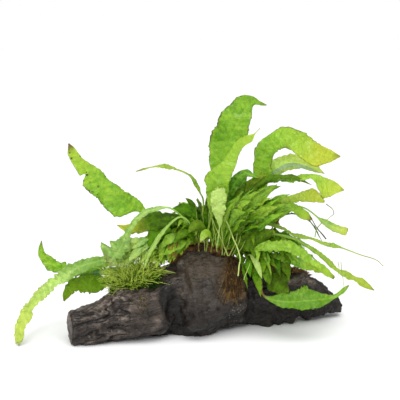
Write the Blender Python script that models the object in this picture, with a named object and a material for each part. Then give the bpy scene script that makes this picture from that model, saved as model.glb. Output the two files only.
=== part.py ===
"""Java fern rooted on a piece of driftwood, as separate wood limbs, rhizomes, roots, moss and leaves.

Lengths in the tables are millimetres. +X runs along the wood to its thin end, +Y away from the
front, +Z up. The origin is on the flat foot under the stump.
"""

import math
from dataclasses import dataclass

import bmesh
import bpy
from mathutils import Matrix, Vector, noise
from mathutils.bvhtree import BVHTree

MM = 0.001
COLLECTION_NAME = "java_fern_on_driftwood"
CURVE_STEPS = 200
FAR_OUT = 300.0

# Driftwood: the log is turned in plan, its cut end nearer the front
WOOD_YAW = math.radians(17.5)
WOOD_SIDES = 28
WOOD_STEP = 5.6
WOOD_GAP = 0.3
LEFT_END = -103.0
LEFT_FORK = -22.0
RIGHT_FORK = 36.0
RIGHT_END = 120.5
SECTION_POWER = 0.86
FLUTE_COUNT = 6
FLUTE_DEPTH = 0.045
FLUTE_TWIST = 0.03
LUMP_DEPTH = 0.08
LUMP_SIZE = 17.0
PIT_DEPTH = 0.05
PIT_SIZE = 7.5

# Stations along the log: place, sideways shift, underside, top, depth to the front, to the back
WOOD_STATIONS = (
    (-103.0, 0.0, -1.6, 24.5, 12.5, 12.5),
    (-96.0, 0.0, -2.0, 26.0, 13.5, 13.5),
    (-85.0, 0.0, -2.0, 28.0, 14.5, 14.5),
    (-74.0, 0.5, -2.0, 31.0, 15.5, 15.5),
    (-64.0, 0.5, -1.5, 36.5, 17.0, 17.0),
    (-50.0, 0.0, -0.5, 41.0, 19.0, 19.0),
    (-38.0, 0.0, 0.0, 46.0, 20.5, 21.0),
    (-22.0, 0.0, -4.0, 54.5, 21.0, 23.0),
    (-12.0, 0.0, -4.0, 60.0, 25.5, 25.0),
    (2.0, 0.0, -4.5, 62.5, 27.5, 27.0),
    (16.0, 1.0, -0.5, 61.0, 27.0, 27.0),
    (28.0, 2.0, 2.0, 58.0, 25.5, 24.0),
    (36.0, 2.0, 1.5, 48.5, 20.5, 22.0),
    (46.0, 1.5, 0.5, 45.5, 17.0, 20.0),
    (58.0, 0.0, 0.0, 44.0, 17.5, 19.0),
    (72.0, 0.0, 2.5, 39.5, 16.5, 17.0),
    (84.0, 0.0, 2.5, 39.0, 15.0, 15.5),
    (96.0, 0.0, 2.0, 34.0, 13.5, 14.0),
    (106.0, 0.0, 2.5, 25.0, 11.5, 12.0),
    (114.0, 0.0, 3.0, 17.5, 9.0, 9.5),
    (120.5, 0.0, 3.0, 13.5, 7.0, 7.5),
)

# Knots, knobs and hollows: place, direction round the log (degrees, 90 is up, 180 is the front),
# height, reach along, reach round (degrees)
WOOD_LUMPS = (
    (-66.0, 120.0, 2.5, 6.0, 26.0),
    (-46.0, 175.0, 2.5, 12.0, 40.0),
    (-23.0, 195.0, -5.0, 6.5, 60.0),
    (-32.0, 118.0, 3.0, 8.0, 30.0),
    (-10.0, 205.0, 3.0, 12.0, 30.0),
    (10.0, 240.0, -4.5, 13.0, 26.0),
    (22.0, 320.0, 6.0, 11.0, 22.0),
    (36.0, 175.0, -3.5, 6.0, 60.0),
    (52.0, 258.0, 5.0, 5.0, 24.0),
    (74.0, 250.0, 3.2, 4.5, 24.0),
    (82.0, 70.0, 2.2, 7.0, 30.0),
    (100.0, 180.0, 2.0, 10.0, 35.0),
)

# Smooth split face high on the front of the stump
FACET_LEAN = math.radians(52.0)
FACET_REACH = 39.5
FACET_START = -19.0
FACET_STOP = 33.0
FACET_FADE = 7.0

# Rhizomes: creeping stems that lie on the wood, as places in plan
RHIZOME_RADIUS = 2.6
RHIZOME_CLEARANCE = 0.9
RHIZOME_PROBES = (-0.9, -0.5, 0.0, 0.5, 0.9)
RHIZOME_NOTCH = 0.12
RHIZOMES = {
    "rhizome_crown": ((-24.0, -7.0), (-14.0, -3.5), (-3.0, 0.5), (9.0, 2.5), (19.0, 3.5), (27.0, 4.5)),
    "rhizome_back": ((-13.0, 13.0), (-3.0, 16.0), (8.0, 18.0), (16.0, 19.0), (23.0, 19.5)),
    "rhizome_right": ((37.0, 3.0), (45.0, 5.0), (54.0, 10.0), (61.0, 14.0), (66.0, 17.0)),
    "rhizome_left": ((-31.0, -8.0), (-39.0, -6.0), (-48.0, -6.0), (-56.0, -8.0)),
}

# Moss cushion on the left limb
MOSS_CENTRE = (-48.5, -23.0, 44.0)
MOSS_RADII = (21.0, 10.0, 21.0)
MOSS_LUMP = 0.12
MOSS_CLEARANCE = 1.4

# Mats on the wood: the four corners of the patch, the direction it is seen from, the thickness
MAT_CLEARANCE = 1.5
MAT_EDGE = 0.7
MAT_ROWS = 8
MAT_COLUMNS = 7
FROM_FRONT = Vector((0.0, 1.0, 0.0))
FROM_ABOVE = Vector((0.0, 0.0, -1.0))


@dataclass(frozen=True)
class Mat:
    """A patch of roots or moss that lies on the wood."""

    name: str
    corners: tuple
    seen_from: Vector
    thickness: float
    finish: str


MATS = (
    Mat("roots_front", ((24.0, 54.0), (30.5, 52.0), (33.5, 29.0), (16.0, 30.0)),
        seen_from=FROM_FRONT, thickness=2.2, finish="root"),
    Mat("roots_left", ((-49.0, 33.0), (-38.0, 35.0), (-33.0, 20.0), (-42.0, 18.0)),
        seen_from=FROM_FRONT, thickness=1.2, finish="root"),
    Mat("moss_patch_right", ((72.0, 20.0), (88.0, 25.0), (86.0, 33.0), (71.0, 28.0)),
        seen_from=FROM_ABOVE, thickness=1.8, finish="dry_moss"),
)

# Leaves: stem, blade and the number of stations along them
STEM_RADIUS = 0.85
TIP_RADIUS = 0.3
BLADE_THICKNESS = 0.9
STEM_LIFT = 0.9
FOOT_SPREAD = 0.65
STATION_STEP = 6.5
FEWEST_STATIONS = 10
MOST_STATIONS = 19
MARGIN_PHASE = 1.1
RIPPLE_REACH = 5.0
FRONT = (0.0, -1.0, 0.15)


@dataclass(frozen=True)
class Leaf:
    """One leaf: where its stem is rooted, the points its midrib passes and the shape of its blade.

    root is the place of the stem in plan. path is the rest of the midrib to the tip. width is the
    widest blade, widest its place along the blade, taper the fullness of the tip. face is the way
    the blade looks and turn its twist to the tip in degrees. stem is the bare share of the length.
    An uneven blade has an outline: rows of a place along it and its half widths to the left and right.
    """

    name: str
    root: tuple
    path: tuple
    width: float
    face: tuple = FRONT
    turn: float = 0.0
    stem: float = 0.35
    widest: float = 0.45
    taper: float = 0.9
    ripple: float = 1.2
    waves: float = 3.0
    cup: float = 0.12
    finish: str = "bright"
    outline: tuple = ()


LEAVES = (
    # Upright leaves of the crown
    Leaf("leaf_tall_upright", (8, 4), ((11, 12, 97), (16, 16, 124), (24, 17, 149), (32, 17, 167),
         (40, 16, 176), (51, 14, 175)), 29, stem=0.25, widest=0.55, taper=0.6, ripple=1.5, waves=2.5,
         outline=((0, 0.8, 0.8), (0.1, 3.5, 3), (0.2, 6, 5.5), (0.3, 9.3, 7), (0.4, 13.6, 8.5),
         (0.5, 14.8, 10.5), (0.6, 16, 12.5), (0.7, 15.3, 9.5), (0.8, 11.8, 7.3), (0.85, 10.6, 4.2),
         (0.88, 8, 2), (0.91, 4, 1), (0.94, 1.7, 1.3), (0.97, 1.4, 1), (1, 0.25, 0.25))),
    Leaf("leaf_front_of_tall", (4, 1), ((9, -2, 94), (12, -4, 109), (15, -5, 122), (22, -5, 135),
         (30, -5, 147), (38, -6, 153), (45, -6, 160)), 19, stem=0.22, widest=0.36, taper=0.95,
         outline=((0, 0.8, 0.8), (0.05, 2.2, 3), (0.1, 4.2, 6.5), (0.2, 7.3, 9.4), (0.3, 8.8, 9),
         (0.36, 11, 8.8), (0.42, 9, 8), (0.5, 4.8, 7.3), (0.6, 3.8, 5), (0.7, 4.2, 3.5),
         (0.8, 4, 3), (0.86, 3.4, 3.2), (0.89, 2.4, 2.6), (0.91, 0.4, 0.4), (1, 0.2, 0.2))),
    Leaf("leaf_pale_upright", (13, 1.5), ((15, -8, 86), (13.8, -12, 96), (14.2, -13, 106),
         (14.7, -12.5, 115.5)), 12, stem=0.45, widest=0.5, taper=0.5, ripple=0.8, finish="pale",
         outline=((0, 0.6, 0.6), (0.15, 3.8, 3.8), (0.4, 5.4, 5.6), (0.7, 5.8, 5.6), (0.9, 5, 5),
         (1, 3.2, 3.4))),
    Leaf("leaf_thin_arching", (-2, 2.5), ((2.6, 9, 98), (-0.4, 9, 108.6), (-7, 9, 120.2),
         (-20, 7, 127), (-33, 4, 129.3), (-49, 0, 126)), 8, face=(0.1, -0.35, 1.0), stem=0.3,
         widest=0.5, taper=1.0, ripple=1.0, waves=4.0, finish="olive",
         outline=((0, 0.6, 0.6), (0.1, 1, 1), (0.2, 1.6, 1.6), (0.3, 2.6, 2.4), (0.36, 2.4, 2.2),
         (0.43, 1.2, 1.2), (0.5, 1.1, 1.1), (0.57, 2.6, 2.2), (0.63, 4, 3), (0.69, 2.8, 2.2),
         (0.75, 1.2, 1.2), (0.82, 1.2, 1.2), (0.9, 1.5, 1.5), (0.96, 1, 1), (1, 0.2, 0.2))),
    Leaf("leaf_sprout_thin", (-5, 0.5), ((-4, 0, 94), (-7, -1, 102), (-11, -3, 106)), 4.5, stem=0.6,
         ripple=0.4, finish="deep"),
    # Leaves to the left
    Leaf("leaf_big_left", (-10, 0), ((-24, 2, 84), (-42, 0, 94), (-57, -4, 102), (-75, -8, 119),
         (-90, -11, 136), (-98, -10, 149)), 23, stem=0.33, widest=0.24, taper=0.9, ripple=1.5,
         waves=4.0, outline=((0, 0.7, 0.7), (0.05, 1.2, 3.5), (0.1, 1.8, 6.2), (0.15, 4, 7.4),
         (0.185, 7.8, 8), (0.22, 13.2, 8), (0.3, 12.5, 8), (0.4, 11.6, 7.8), (0.45, 10.8, 6.8),
         (0.5, 10, 5.3), (0.6, 11, 8), (0.7, 8, 5.3), (0.8, 5.7, 3.2), (0.9, 4.9, 2.7),
         (0.95, 3, 2.2), (1, 0.2, 0.2))),
    Leaf("leaf_left_dark", (-13, -4), ((-18, -8, 87), (-30, -11, 91), (-41, -13, 87.5),
         (-53, -13, 84.5), (-63, -12, 87)), 14, face=(0, -0.8, 0.5), stem=0.3, widest=0.35,
         finish="deep"),
    Leaf("leaf_left_hanging", (-7, -1.5), ((-10, -10, 88), (-22, -17, 101), (-35, -22, 101),
         (-45.3, -24, 96), (-54, -26, 84), (-60, -27, 72), (-68, -28, 62)), 19,
         face=(-0.2, -0.9, 0.5), stem=0.4, widest=0.8, taper=0.5, finish="pale",
         outline=((0, 0.6, 0.6), (0.1, 1.6, 1.6), (0.2, 2.2, 2.2), (0.3, 2.4, 2.4), (0.45, 2.3, 2.3),
         (0.6, 2.6, 2.5), (0.66, 4.5, 3), (0.7, 7, 6.5), (0.74, 8, 11), (0.78, 7, 12.5),
         (0.85, 6.5, 14), (0.92, 6, 13), (0.97, 4.5, 8), (1, 1.5, 3))),
    Leaf("leaf_left_band", (-17, -5), ((-22, -12, 81), (-30, -16, 83), (-39, -18, 76), (-48, -19, 66)),
         10, face=(-0.3, -0.9, 0.4), stem=0.35, finish="deep"),
    Leaf("leaf_front_stripe", (-1, 0), ((-8, -14, 89), (-15, -20, 95), (-24, -25, 89),
         (-32, -29, 79), (-38, -34, 69), (-41, -37, 60)), 7, face=(-0.6, -0.6, 0.5), stem=0.3,
         ripple=0.5, finish="pale"),
    Leaf("leaf_low_left", (-21, -7), ((-27, -14, 71), (-38, -16, 70), (-48, -12, 69)), 11,
         face=(0, -0.9, 0.5), stem=0.3, finish="deep"),
    Leaf("leaf_left_short", (1, 2), ((-2, -3, 88), (-9, -5, 97), (-21, -8, 99)), 9, stem=0.5,
         face=(0, -0.9, 0.5), finish="deep"),
    # The group from under the moss
    Leaf("leaf_far_left_curled", (-36, -5.5), ((-41, -3, 60), (-54, -3, 59), (-70, -4, 55),
         (-85, -6, 52), (-96, -9, 50.5), (-106.8, -10, 52.5), (-113.4, -11, 56), (-118.7, -11, 61),
         (-121, -11, 66), (-120.6, -11, 74.5)), 12, face=(0, -0.7, 0.7), stem=0.2,
         outline=((0, 0.6, 0.6), (0.1, 1.5, 1.5), (0.3, 4, 4), (0.5, 5.5, 5.5), (0.65, 6, 5.4),
         (0.75, 5, 4.7), (0.85, 3.5, 3.2), (0.93, 2, 1.6), (1, 0.2, 0.2))),
    Leaf("leaf_far_left_drooping", (-45, -6.5), ((-58, -10, 61.5), (-73, -14, 60), (-84, -18, 58.5),
         (-94.6, -21, 54.7), (-105.4, -23, 48.5), (-114, -26, 42), (-125.6, -27.5, 31),
         (-133.2, -33, 17.2), (-136, -38, 3)), 12, face=(-0.4, -0.9, 0.4), stem=0.15, ripple=0.9,
         waves=5.0, finish="pale",
         outline=((0, 0.6, 0.6), (0.08, 2, 2), (0.2, 4.2, 4), (0.35, 6.2, 5.5), (0.5, 5.4, 5.4),
         (0.6, 4.7, 4.7), (0.7, 4.4, 4.5), (0.8, 4.8, 4.9), (0.9, 5.1, 5.2), (0.97, 4.2, 4.6),
         (1, 2.8, 2.5))),
    Leaf("leaf_left_low_green", (-52, -7), ((-64, -9, 43.5), (-79, -14, 41.5), (-89.5, -17, 41.7),
         (-96.2, -19, 40.5), (-100.6, -20, 36.3), (-103.2, -20.5, 30.3)), 16, face=(0, -0.8, 0.6),
         stem=0.15, finish="deep",
         outline=((0, 0.6, 0.6), (0.1, 2, 2), (0.2, 3.5, 3.5), (0.35, 6.5, 6.8), (0.5, 7, 7),
         (0.65, 8, 8), (0.78, 5, 6), (0.85, 3, 3.5), (0.93, 3, 3.2), (1, 0.3, 0.3))),
    Leaf("leaf_left_grey", (-41, -6), ((-58, 3, 51), (-76, 4, 50.5), (-95, 2, 48)), 8,
         face=(0, -0.9, 0.4), stem=0.25, finish="grey"),
    # Leaves to the right
    Leaf("leaf_big_right_arch", (23, 6), ((37, 17, 88), (46, 17, 113), (48, 15, 131), (56, 12, 146),
         (68, 8, 150), (86, 3, 140), (106, -3, 138)), 21, stem=0.27, widest=0.63, taper=0.8,
         face=(0.05, -1, 0.1),
         outline=((0, 0.8, 0.8), (0.1, 3.5, 4), (0.2, 5.5, 8), (0.3, 6.2, 9), (0.4, 9.3, 6.5),
         (0.5, 6.8, 7.3), (0.6, 9, 7.2), (0.7, 9.7, 7.8), (0.8, 9, 8.5), (0.84, 8, 10),
         (0.9, 6.2, 7), (0.95, 3.5, 3.8), (1, 0.2, 0.2))),
    Leaf("leaf_right_pale_under", (22, 19), ((39, 27, 99), (53, 28, 120), (66, 27, 129), (79, 26, 126),
         (92, 24, 115)), 13, face=(0, -0.8, 0.6), stem=0.4, taper=0.8, ripple=0.8, finish="pale"),
    Leaf("leaf_right_turned_end", (24, 3), ((38, 4, 100), (52, 3, 117), (69, 1, 119), (84, 0, 122),
         (96, -3, 118), (109, -7, 113)), 17, face=(0, 0.1, 1), turn=75.0, stem=0.4, ripple=0.8,
         outline=((0, 0.6, 0.6), (0.12, 3, 3), (0.25, 4.6, 4.6), (0.4, 4.4, 4.4), (0.5, 3.6, 3.6),
         (0.6, 2.4, 2.6), (0.66, 2.5, 2.6), (0.7, 3, 3.8), (0.75, 3.4, 7.5), (0.8, 3.6, 12.5),
         (0.85, 3.4, 13), (0.9, 3, 9.5), (0.95, 2, 4.5), (1, 0.2, 0.2))),
    Leaf("leaf_right_olive", (40, 6.5), ((44, 12, 90), (54, 14, 98), (67, 14, 101), (82, 13, 105),
         (97, 11, 100)), 11, face=(0, -0.7, 0.7), stem=0.4, finish="olive",
         outline=((0, 0.6, 0.6), (0.15, 3, 4), (0.35, 3, 5), (0.5, 2.4, 4.8), (0.6, 2.6, 6.7),
         (0.7, 4.2, 7), (0.8, 5.8, 5.5), (0.9, 6, 4), (0.96, 4, 3), (1, 0.5, 0.5))),
    Leaf("leaf_right_mid", (43, 5), ((45, 5, 84), (54, 5, 93.5), (68, 4, 97), (77, 3, 93.5),
         (86.5, 2, 88)), 10, face=(0, -0.7, 0.7), stem=0.4,
         outline=((0, 0.6, 0.6), (0.2, 2, 2), (0.4, 2.3, 2.3), (0.55, 3, 2.6), (0.7, 5, 4.2),
         (0.8, 5.2, 4.8), (0.9, 3.4, 4), (0.96, 2, 2.5), (1, 0.3, 0.3))),
    Leaf("leaf_right_end_blade", (46, 7.5), ((50, 10, 82), (62, 11, 95), (80, 9, 96), (94, 4, 87),
         (104, -1, 82), (113, -4, 79.5)), 7, face=(0, -0.9, 0.5), stem=0.78, ripple=0.5,
         finish="pale",
         outline=((0, 0.6, 0.6), (0.1, 2.2, 2.2), (0.4, 3, 3), (0.8, 3.2, 3.4), (0.97, 3.2, 3.4),
         (1, 2.8, 3))),
    Leaf("leaf_right_dark_thin", (50, 9), ((58, 13, 82), (72, 14, 90), (86, 11, 84), (95, 6, 70)), 5,
         face=(0, 0.1, 1), stem=0.3, ripple=0.5, finish="deep"),
    Leaf("leaf_right_long_thread", (38, 3), ((46, 0, 83), (63.5, 0, 81.5), (70, -0.5, 77.3),
         (78, -1.5, 75.2), (86, -3, 74), (93, -4.5, 71.4), (102, -7, 69.2), (109, -9, 68.1),
         (121.6, -12, 63.9), (133.6, -14, 60.4), (139.7, -14.5, 55.4)), 6, face=(0, -0.6, 0.8),
         stem=0.2, ripple=0.8, waves=4.0, finish="olive",
         outline=((0, 0.8, 0.8), (0.1, 1.6, 1.6), (0.21, 1.9, 1.9), (0.28, 1, 1), (0.33, 1.8, 1.6),
         (0.38, 2.6, 2.4), (0.44, 1.2, 1.6), (0.5, 1.3, 1.6), (0.56, 1.7, 2), (0.61, 2.9, 1.8),
         (0.65, 1.6, 1.2), (0.68, 0.6, 0.6), (0.8, 0.4, 0.4), (1, 0.25, 0.25))),
    Leaf("leaf_right_long_twisted", (41, 3.5), ((51, -5, 76), (69, -7, 76), (80, -10, 71),
         (93, -13, 62.6), (105, -15, 52), (118, -16, 46), (133, -17, 37)), 8,
         face=(0.3, -0.7, 0.7), turn=20.0, stem=0.25, ripple=1.2, waves=4.0, finish="olive",
         outline=((0, 0.8, 0.8), (0.2, 1.5, 1.5), (0.3, 1.6, 1.6), (0.4, 2.8, 2.6), (0.5, 3.6, 3.3),
         (0.58, 3, 2.8), (0.65, 1.4, 1.4), (0.72, 3.2, 2.8), (0.78, 2.4, 2.6), (0.81, 1.4, 1.4),
         (0.87, 3.2, 3), (0.94, 2.4, 2.2), (1, 0.2, 0.2))),
    Leaf("leaf_right_bright_low", (36.5, 1.5), ((44, -15.5, 69.5), (55.7, -18, 72), (68, -19, 71.3),
         (76.4, -19.5, 66.7), (81.3, -20, 62.2), (87.9, -21, 58.7), (96.2, -22, 52.4),
         (101.2, -22, 48.6)), 10, face=(0.2, -0.8, 0.6), stem=0.2,
         outline=((0, 0.7, 0.7), (0.1, 2.6, 2.6), (0.2, 4, 4.2), (0.35, 4.6, 4.6), (0.5, 4.8, 4.6),
         (0.6, 4, 4), (0.68, 3.2, 3.3), (0.76, 2.8, 3.2), (0.85, 3, 3), (0.95, 2.6, 2.6),
         (1, 1.5, 1.5))),
    Leaf("leaf_right_under_low", (49.5, 7), ((53, -6, 61), (62, -9, 61), (73.8, -11, 57.6),
         (84.8, -12, 53.7), (95.8, -13, 50)), 10, face=(0.2, -0.7, 0.8), stem=0.3, taper=0.7),
    Leaf("leaf_low_front_right", (44, 3), ((40, -17, 46), (46, -24, 33), (60, -26, 31), (75, -26, 31),
         (90, -25, 32), (102, -23, 34), (113, -20, 42)), 18, face=(0, -0.85, 0.55), stem=0.32,
         ripple=1.4, waves=4.0,
         outline=((0, 0.7, 0.7), (0.05, 1.3, 1), (0.1, 3.2, 1.8), (0.2, 6.3, 3.8), (0.3, 7.3, 5.4),
         (0.36, 9, 6.4), (0.43, 10.5, 7.4), (0.5, 10.2, 7.8), (0.6, 7.4, 6.7), (0.7, 3.7, 3.9),
         (0.78, 1.7, 1.6), (0.85, 1.4, 1.6), (0.93, 1.6, 2.2), (1, 0.3, 0.3))),
    Leaf("leaf_low_shaded", (51, 7), ((56, -5, 51), (63, -12, 46.5), (71, -14, 43.5)), 15,
         face=(0, -0.9, 0.4), stem=0.35, finish="deep"),
    # Middle of the bush
    Leaf("leaf_middle_dark", (20, 1.5), ((29, -6, 70), (41, -9, 76), (56, -10, 82)), 17,
         face=(0.1, -1, 0.3), stem=0.22, finish="deep"),
    Leaf("leaf_middle_rising", (16, 1.5), ((22, -9, 84), (34, -11, 99), (46, -12, 110), (58, -11, 118)),
         17, face=(0, -1, 0.2), stem=0.33),
    Leaf("leaf_middle_behind", (17.5, 6), ((26, 9, 92), (37, 10, 108), (50, 8, 123)), 15,
         face=(0, -1, 0.2), stem=0.35, finish="deep"),
    Leaf("leaf_middle_arched", (11, 5), ((18, 5, 90), (25, 6, 112), (34, 6, 123), (45, 4, 120)), 9,
         face=(0, -0.7, 0.7), stem=0.5),
    Leaf("leaf_middle_broad", (27, 3.5), ((34, -2, 84), (46, -4, 95), (62, -5, 103)), 17,
         face=(0, -1, 0.35), stem=0.3, finish="deep"),
    Leaf("leaf_middle_right", (54, 9), ((56, 2, 64), (64, -4, 73), (77, -6, 66)), 13,
         face=(0, -0.9, 0.5), stem=0.3, finish="deep"),
    Leaf("leaf_hanging_small", (36, 4.5), ((37, -6, 62), (42, -16, 60), (47, -20, 47)), 5, stem=0.45,
         ripple=0.4, finish="pale"),
    Leaf("leaf_hanging_dark", (47, 5.5), ((47.5, -4, 59), (50, -16, 55), (53, -20, 42)), 7, stem=0.5,
         ripple=0.5, finish="deep"),
    Leaf("leaf_short_front_a", (-15, -4), ((-15, -13, 76), (-22, -18, 78), (-30, -21, 71)), 8,
         face=(-0.2, -0.9, 0.6), stem=0.35, ripple=0.6),
    Leaf("leaf_short_front_b", (-4, -1.5), ((-6, -13, 79), (-13, -18, 82), (-20, -22, 75)), 7,
         face=(-0.2, -0.8, 0.7), stem=0.4, ripple=0.5, finish="deep"),
    Leaf("leaf_short_front_c", (6.5, 1), ((3, -11, 82), (-3, -16, 88), (-9, -20, 83)), 8,
         face=(0, -0.9, 0.5), stem=0.45, ripple=0.5, finish="deep"),
    Leaf("leaf_short_front_d", (10, 1.5), ((8, -12, 78), (4, -18, 82), (0, -22, 76)), 7,
         face=(0, -0.8, 0.6), stem=0.45, ripple=0.4),
    Leaf("leaf_crown_low_left", (-6, 15), ((-9, 17, 74), (-17, 16, 84), (-29, 12, 88)), 15,
         face=(0, -1, 0.3), stem=0.25, finish="deep"),
    Leaf("leaf_crown_low_middle", (5, 17.5), ((2, 20, 76), (-4, 21, 88), (-11, 21, 98)), 15,
         face=(0, -1, 0.3), stem=0.25, finish="deep"),
    # Leaves on the back
    Leaf("leaf_back_left", (-9, 14), ((-15, 26, 78), (-26, 38, 84), (-40, 49, 77), (-52, 55, 63)), 17,
         face=(-0.4, 0.6, 0.7), turn=25.0, stem=0.3, ripple=1.6, waves=4.0),
    Leaf("leaf_back_middle", (0, 16.5), ((-1, 34, 83), (-6, 54, 87), (-9, 74, 78), (-7, 90, 60)), 21,
         face=(0.1, 0.7, 0.7), turn=-20.0, stem=0.26, widest=0.4, taper=1.0, ripple=1.6, finish="deep"),
    Leaf("leaf_back_second", (10, 18.5), ((14, 33, 76), (18, 48, 71), (20, 60, 56), (19, 66, 40)), 15,
         face=(0.1, 0.8, 0.5), turn=20.0, stem=0.3, ripple=1.4),
    Leaf("leaf_back_right", (17, 18.5), ((28, 34, 80), (38, 50, 84), (52, 66, 78), (68, 76, 66)), 18,
         face=(0.3, 0.6, 0.7), turn=-25.0, stem=0.3, ripple=1.6, waves=4.0, finish="deep"),
    Leaf("leaf_back_low_right", (58, 13), ((63, 26, 58), (73, 38, 58), (86, 47, 50), (99, 52, 40)), 14,
         face=(0.3, 0.5, 0.8), turn=20.0, stem=0.28),
    Leaf("leaf_back_low_left", (-33, -7), ((-38, 6, 64), (-46, 22, 66), (-55, 36, 56), (-60, 45, 43)), 13,
         face=(-0.3, 0.6, 0.8), stem=0.28, ripple=1.4, finish="deep"),
)

# Finishes: colour (linear RGB), roughness
FINISHES = {
    "wood": ((0.045, 0.036, 0.033), 0.8),
    "rhizome": ((0.10, 0.075, 0.03), 0.7),
    "root": ((0.22, 0.09, 0.025), 0.8),
    "moss": ((0.26, 0.36, 0.06), 0.75),
    "dry_moss": ((0.16, 0.08, 0.025), 0.85),
    "bright": ((0.27, 0.51, 0.04), 0.45),
    "pale": ((0.42, 0.62, 0.12), 0.45),
    "deep": ((0.10, 0.27, 0.02), 0.45),
    "olive": ((0.25, 0.33, 0.05), 0.5),
    "grey": ((0.22, 0.36, 0.16), 0.5),
}


def clear_scene():
    """Remove the objects that a new scene starts with."""
    for item in list(bpy.data.objects):
        bpy.data.objects.remove(item, do_unlink=True)


def make_material(name, finish):
    """Return a Principled material with a finish's colour and roughness."""
    colour, roughness = FINISHES[finish]
    material = bpy.data.materials.new(name)
    material.use_nodes = True
    shader = material.node_tree.nodes["Principled BSDF"]
    shader.inputs["Base Color"].default_value = (*colour, 1.0)
    shader.inputs["Roughness"].default_value = roughness
    shader.inputs["Metallic"].default_value = 0.0
    material.diffuse_color = (*colour, 1.0)
    return material


def add_object(collection, name, data, finish):
    """Link an object made from data, with a material of its own."""
    item = bpy.data.objects.new(name, data)
    data.materials.append(make_material(name + "_finish", finish))
    collection.objects.link(item)
    return item


def add_mesh(collection, name, mesh_builder, finish):
    """Turn a bmesh in millimetres into a smooth object in metres."""
    bmesh.ops.scale(mesh_builder, vec=(MM, MM, MM), verts=mesh_builder.verts)
    bmesh.ops.recalc_face_normals(mesh_builder, faces=mesh_builder.faces)
    mesh = bpy.data.meshes.new(name)
    mesh_builder.to_mesh(mesh)
    mesh_builder.free()
    mesh.shade_smooth()
    return add_object(collection, name, mesh, finish)


def smooth_step(value):
    """Ease a share from 0 to 1."""
    share = min(max(value, 0.0), 1.0)
    return share * share * (3.0 - 2.0 * share)


def loft(sections, thin=False):
    """Join closed sections of equal point count into one capped skin.

    A thin skin is cut into triangles whose cuts run from a margin to the midrib on both faces, so
    that its upper and lower face stay apart where it is wavy.
    """
    builder = bmesh.new()
    rings = [[builder.verts.new(point) for point in section] for section in sections]
    sides = len(rings[0])
    for ring, following in zip(rings, rings[1:]):
        for side in range(sides):
            after = (side + 1) % sides
            near, far = (ring[side], ring[after]), (following[side], following[after])
            if not thin:
                builder.faces.new((*near, far[1], far[0]))
            elif side % 2 == 0:
                builder.faces.new((*near, far[1]))
                builder.faces.new((near[0], far[1], far[0]))
            else:
                builder.faces.new((*near, far[0]))
                builder.faces.new((near[1], far[1], far[0]))
    builder.faces.new(list(reversed(rings[0])))
    builder.faces.new(rings[-1])
    return builder


def curve_point(points, place):
    """Return the point at a place on the smooth curve that passes through the points."""
    last = len(points) - 1
    index = min(int(place), last - 1)
    share = place - index
    middle, following = points[index], points[index + 1]
    before = points[index - 1] if index else middle * 2.0 - following
    after = points[index + 2] if index + 2 <= last else following * 2.0 - middle
    return 0.5 * (
        middle * 2.0
        + (following - before) * share
        + (before * 2.0 - middle * 5.0 + following * 4.0 - after) * share**2
        + (middle * 3.0 - before - following * 3.0 + after) * share**3
    )


def even_points(points, count):
    """Return count points evenly spaced along the smooth curve through the points."""
    last = len(points) - 1
    fine = [curve_point(points, last * step / CURVE_STEPS) for step in range(CURVE_STEPS + 1)]
    travelled = [0.0]
    for here, following in zip(fine, fine[1:]):
        travelled.append(travelled[-1] + (following - here).length)
    result = []
    cursor = 0
    for step in range(count):
        wanted = travelled[-1] * step / (count - 1)
        while cursor < CURVE_STEPS - 1 and travelled[cursor + 1] < wanted:
            cursor += 1
        span = travelled[cursor + 1] - travelled[cursor]
        result.append(fine[cursor].lerp(fine[cursor + 1], (wanted - travelled[cursor]) / span))
    return result


def station_values(along):
    """Return the log's section sizes at a place along it."""
    places = [row[0] for row in WOOD_STATIONS]
    index = max(i for i in range(len(places) - 1) if places[i] <= along + 1e-6)
    share = (along - places[index]) / (places[index + 1] - places[index])
    rows = [Vector(row[1:]) for row in WOOD_STATIONS]
    return curve_point(rows, index + min(max(share, 0.0), 1.0))


def wood_point(along, turn):
    """Return the point of the log's skin at a place along it and an angle round it."""
    shift, low, high, front, back = station_values(along)
    middle = 0.5 * (low + high)
    cosine, sine = math.cos(turn), math.sin(turn)
    reach = back if cosine > 0.0 else front
    out = Vector((
        math.copysign(abs(cosine) ** SECTION_POWER, cosine) * reach,
        math.copysign(abs(sine) ** SECTION_POWER, sine) * 0.5 * (high - low),
    ))
    grain = FLUTE_DEPTH * math.sin(FLUTE_COUNT * turn + FLUTE_TWIST * along)
    grain += LUMP_DEPTH * noise.noise(Vector((along / LUMP_SIZE, 1.5 * cosine + 4.0, 1.5 * sine)))
    grain += PIT_DEPTH * noise.noise(Vector((along / PIT_SIZE, 3.5 * cosine, 3.5 * sine + 9.0)))
    length = out.length * (1.0 + grain)
    for place, degrees, height, reach_along, reach_round in WOOD_LUMPS:
        away = (math.degrees(turn) - degrees + 180.0) % 360.0 - 180.0
        length += height * math.exp(-(((along - place) / reach_along) ** 2) - (away / reach_round) ** 2)
    out = out.normalized() * length
    across, up = shift + out.x, middle + out.y
    weight = smooth_step((along - FACET_START) / FACET_FADE) * smooth_step((FACET_STOP - along) / FACET_FADE)
    excess = up * math.cos(FACET_LEAN) - across * math.sin(FACET_LEAN) - FACET_REACH
    if excess > 0.0:
        across += weight * excess * math.sin(FACET_LEAN)
        up -= weight * excess * math.cos(FACET_LEAN)
    up = max(up, 0.0)
    cosine_yaw, sine_yaw = math.cos(WOOD_YAW), math.sin(WOOD_YAW)
    return Vector((
        along * cosine_yaw - across * sine_yaw,
        along * sine_yaw + across * cosine_yaw,
        up,
    ))


def wood_places(start, stop):
    """Return the evenly spaced stations of a limb of the log."""
    count = max(2, round((stop - start) / WOOD_STEP))
    return [start + (stop - start) * step / count for step in range(count + 1)]


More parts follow.
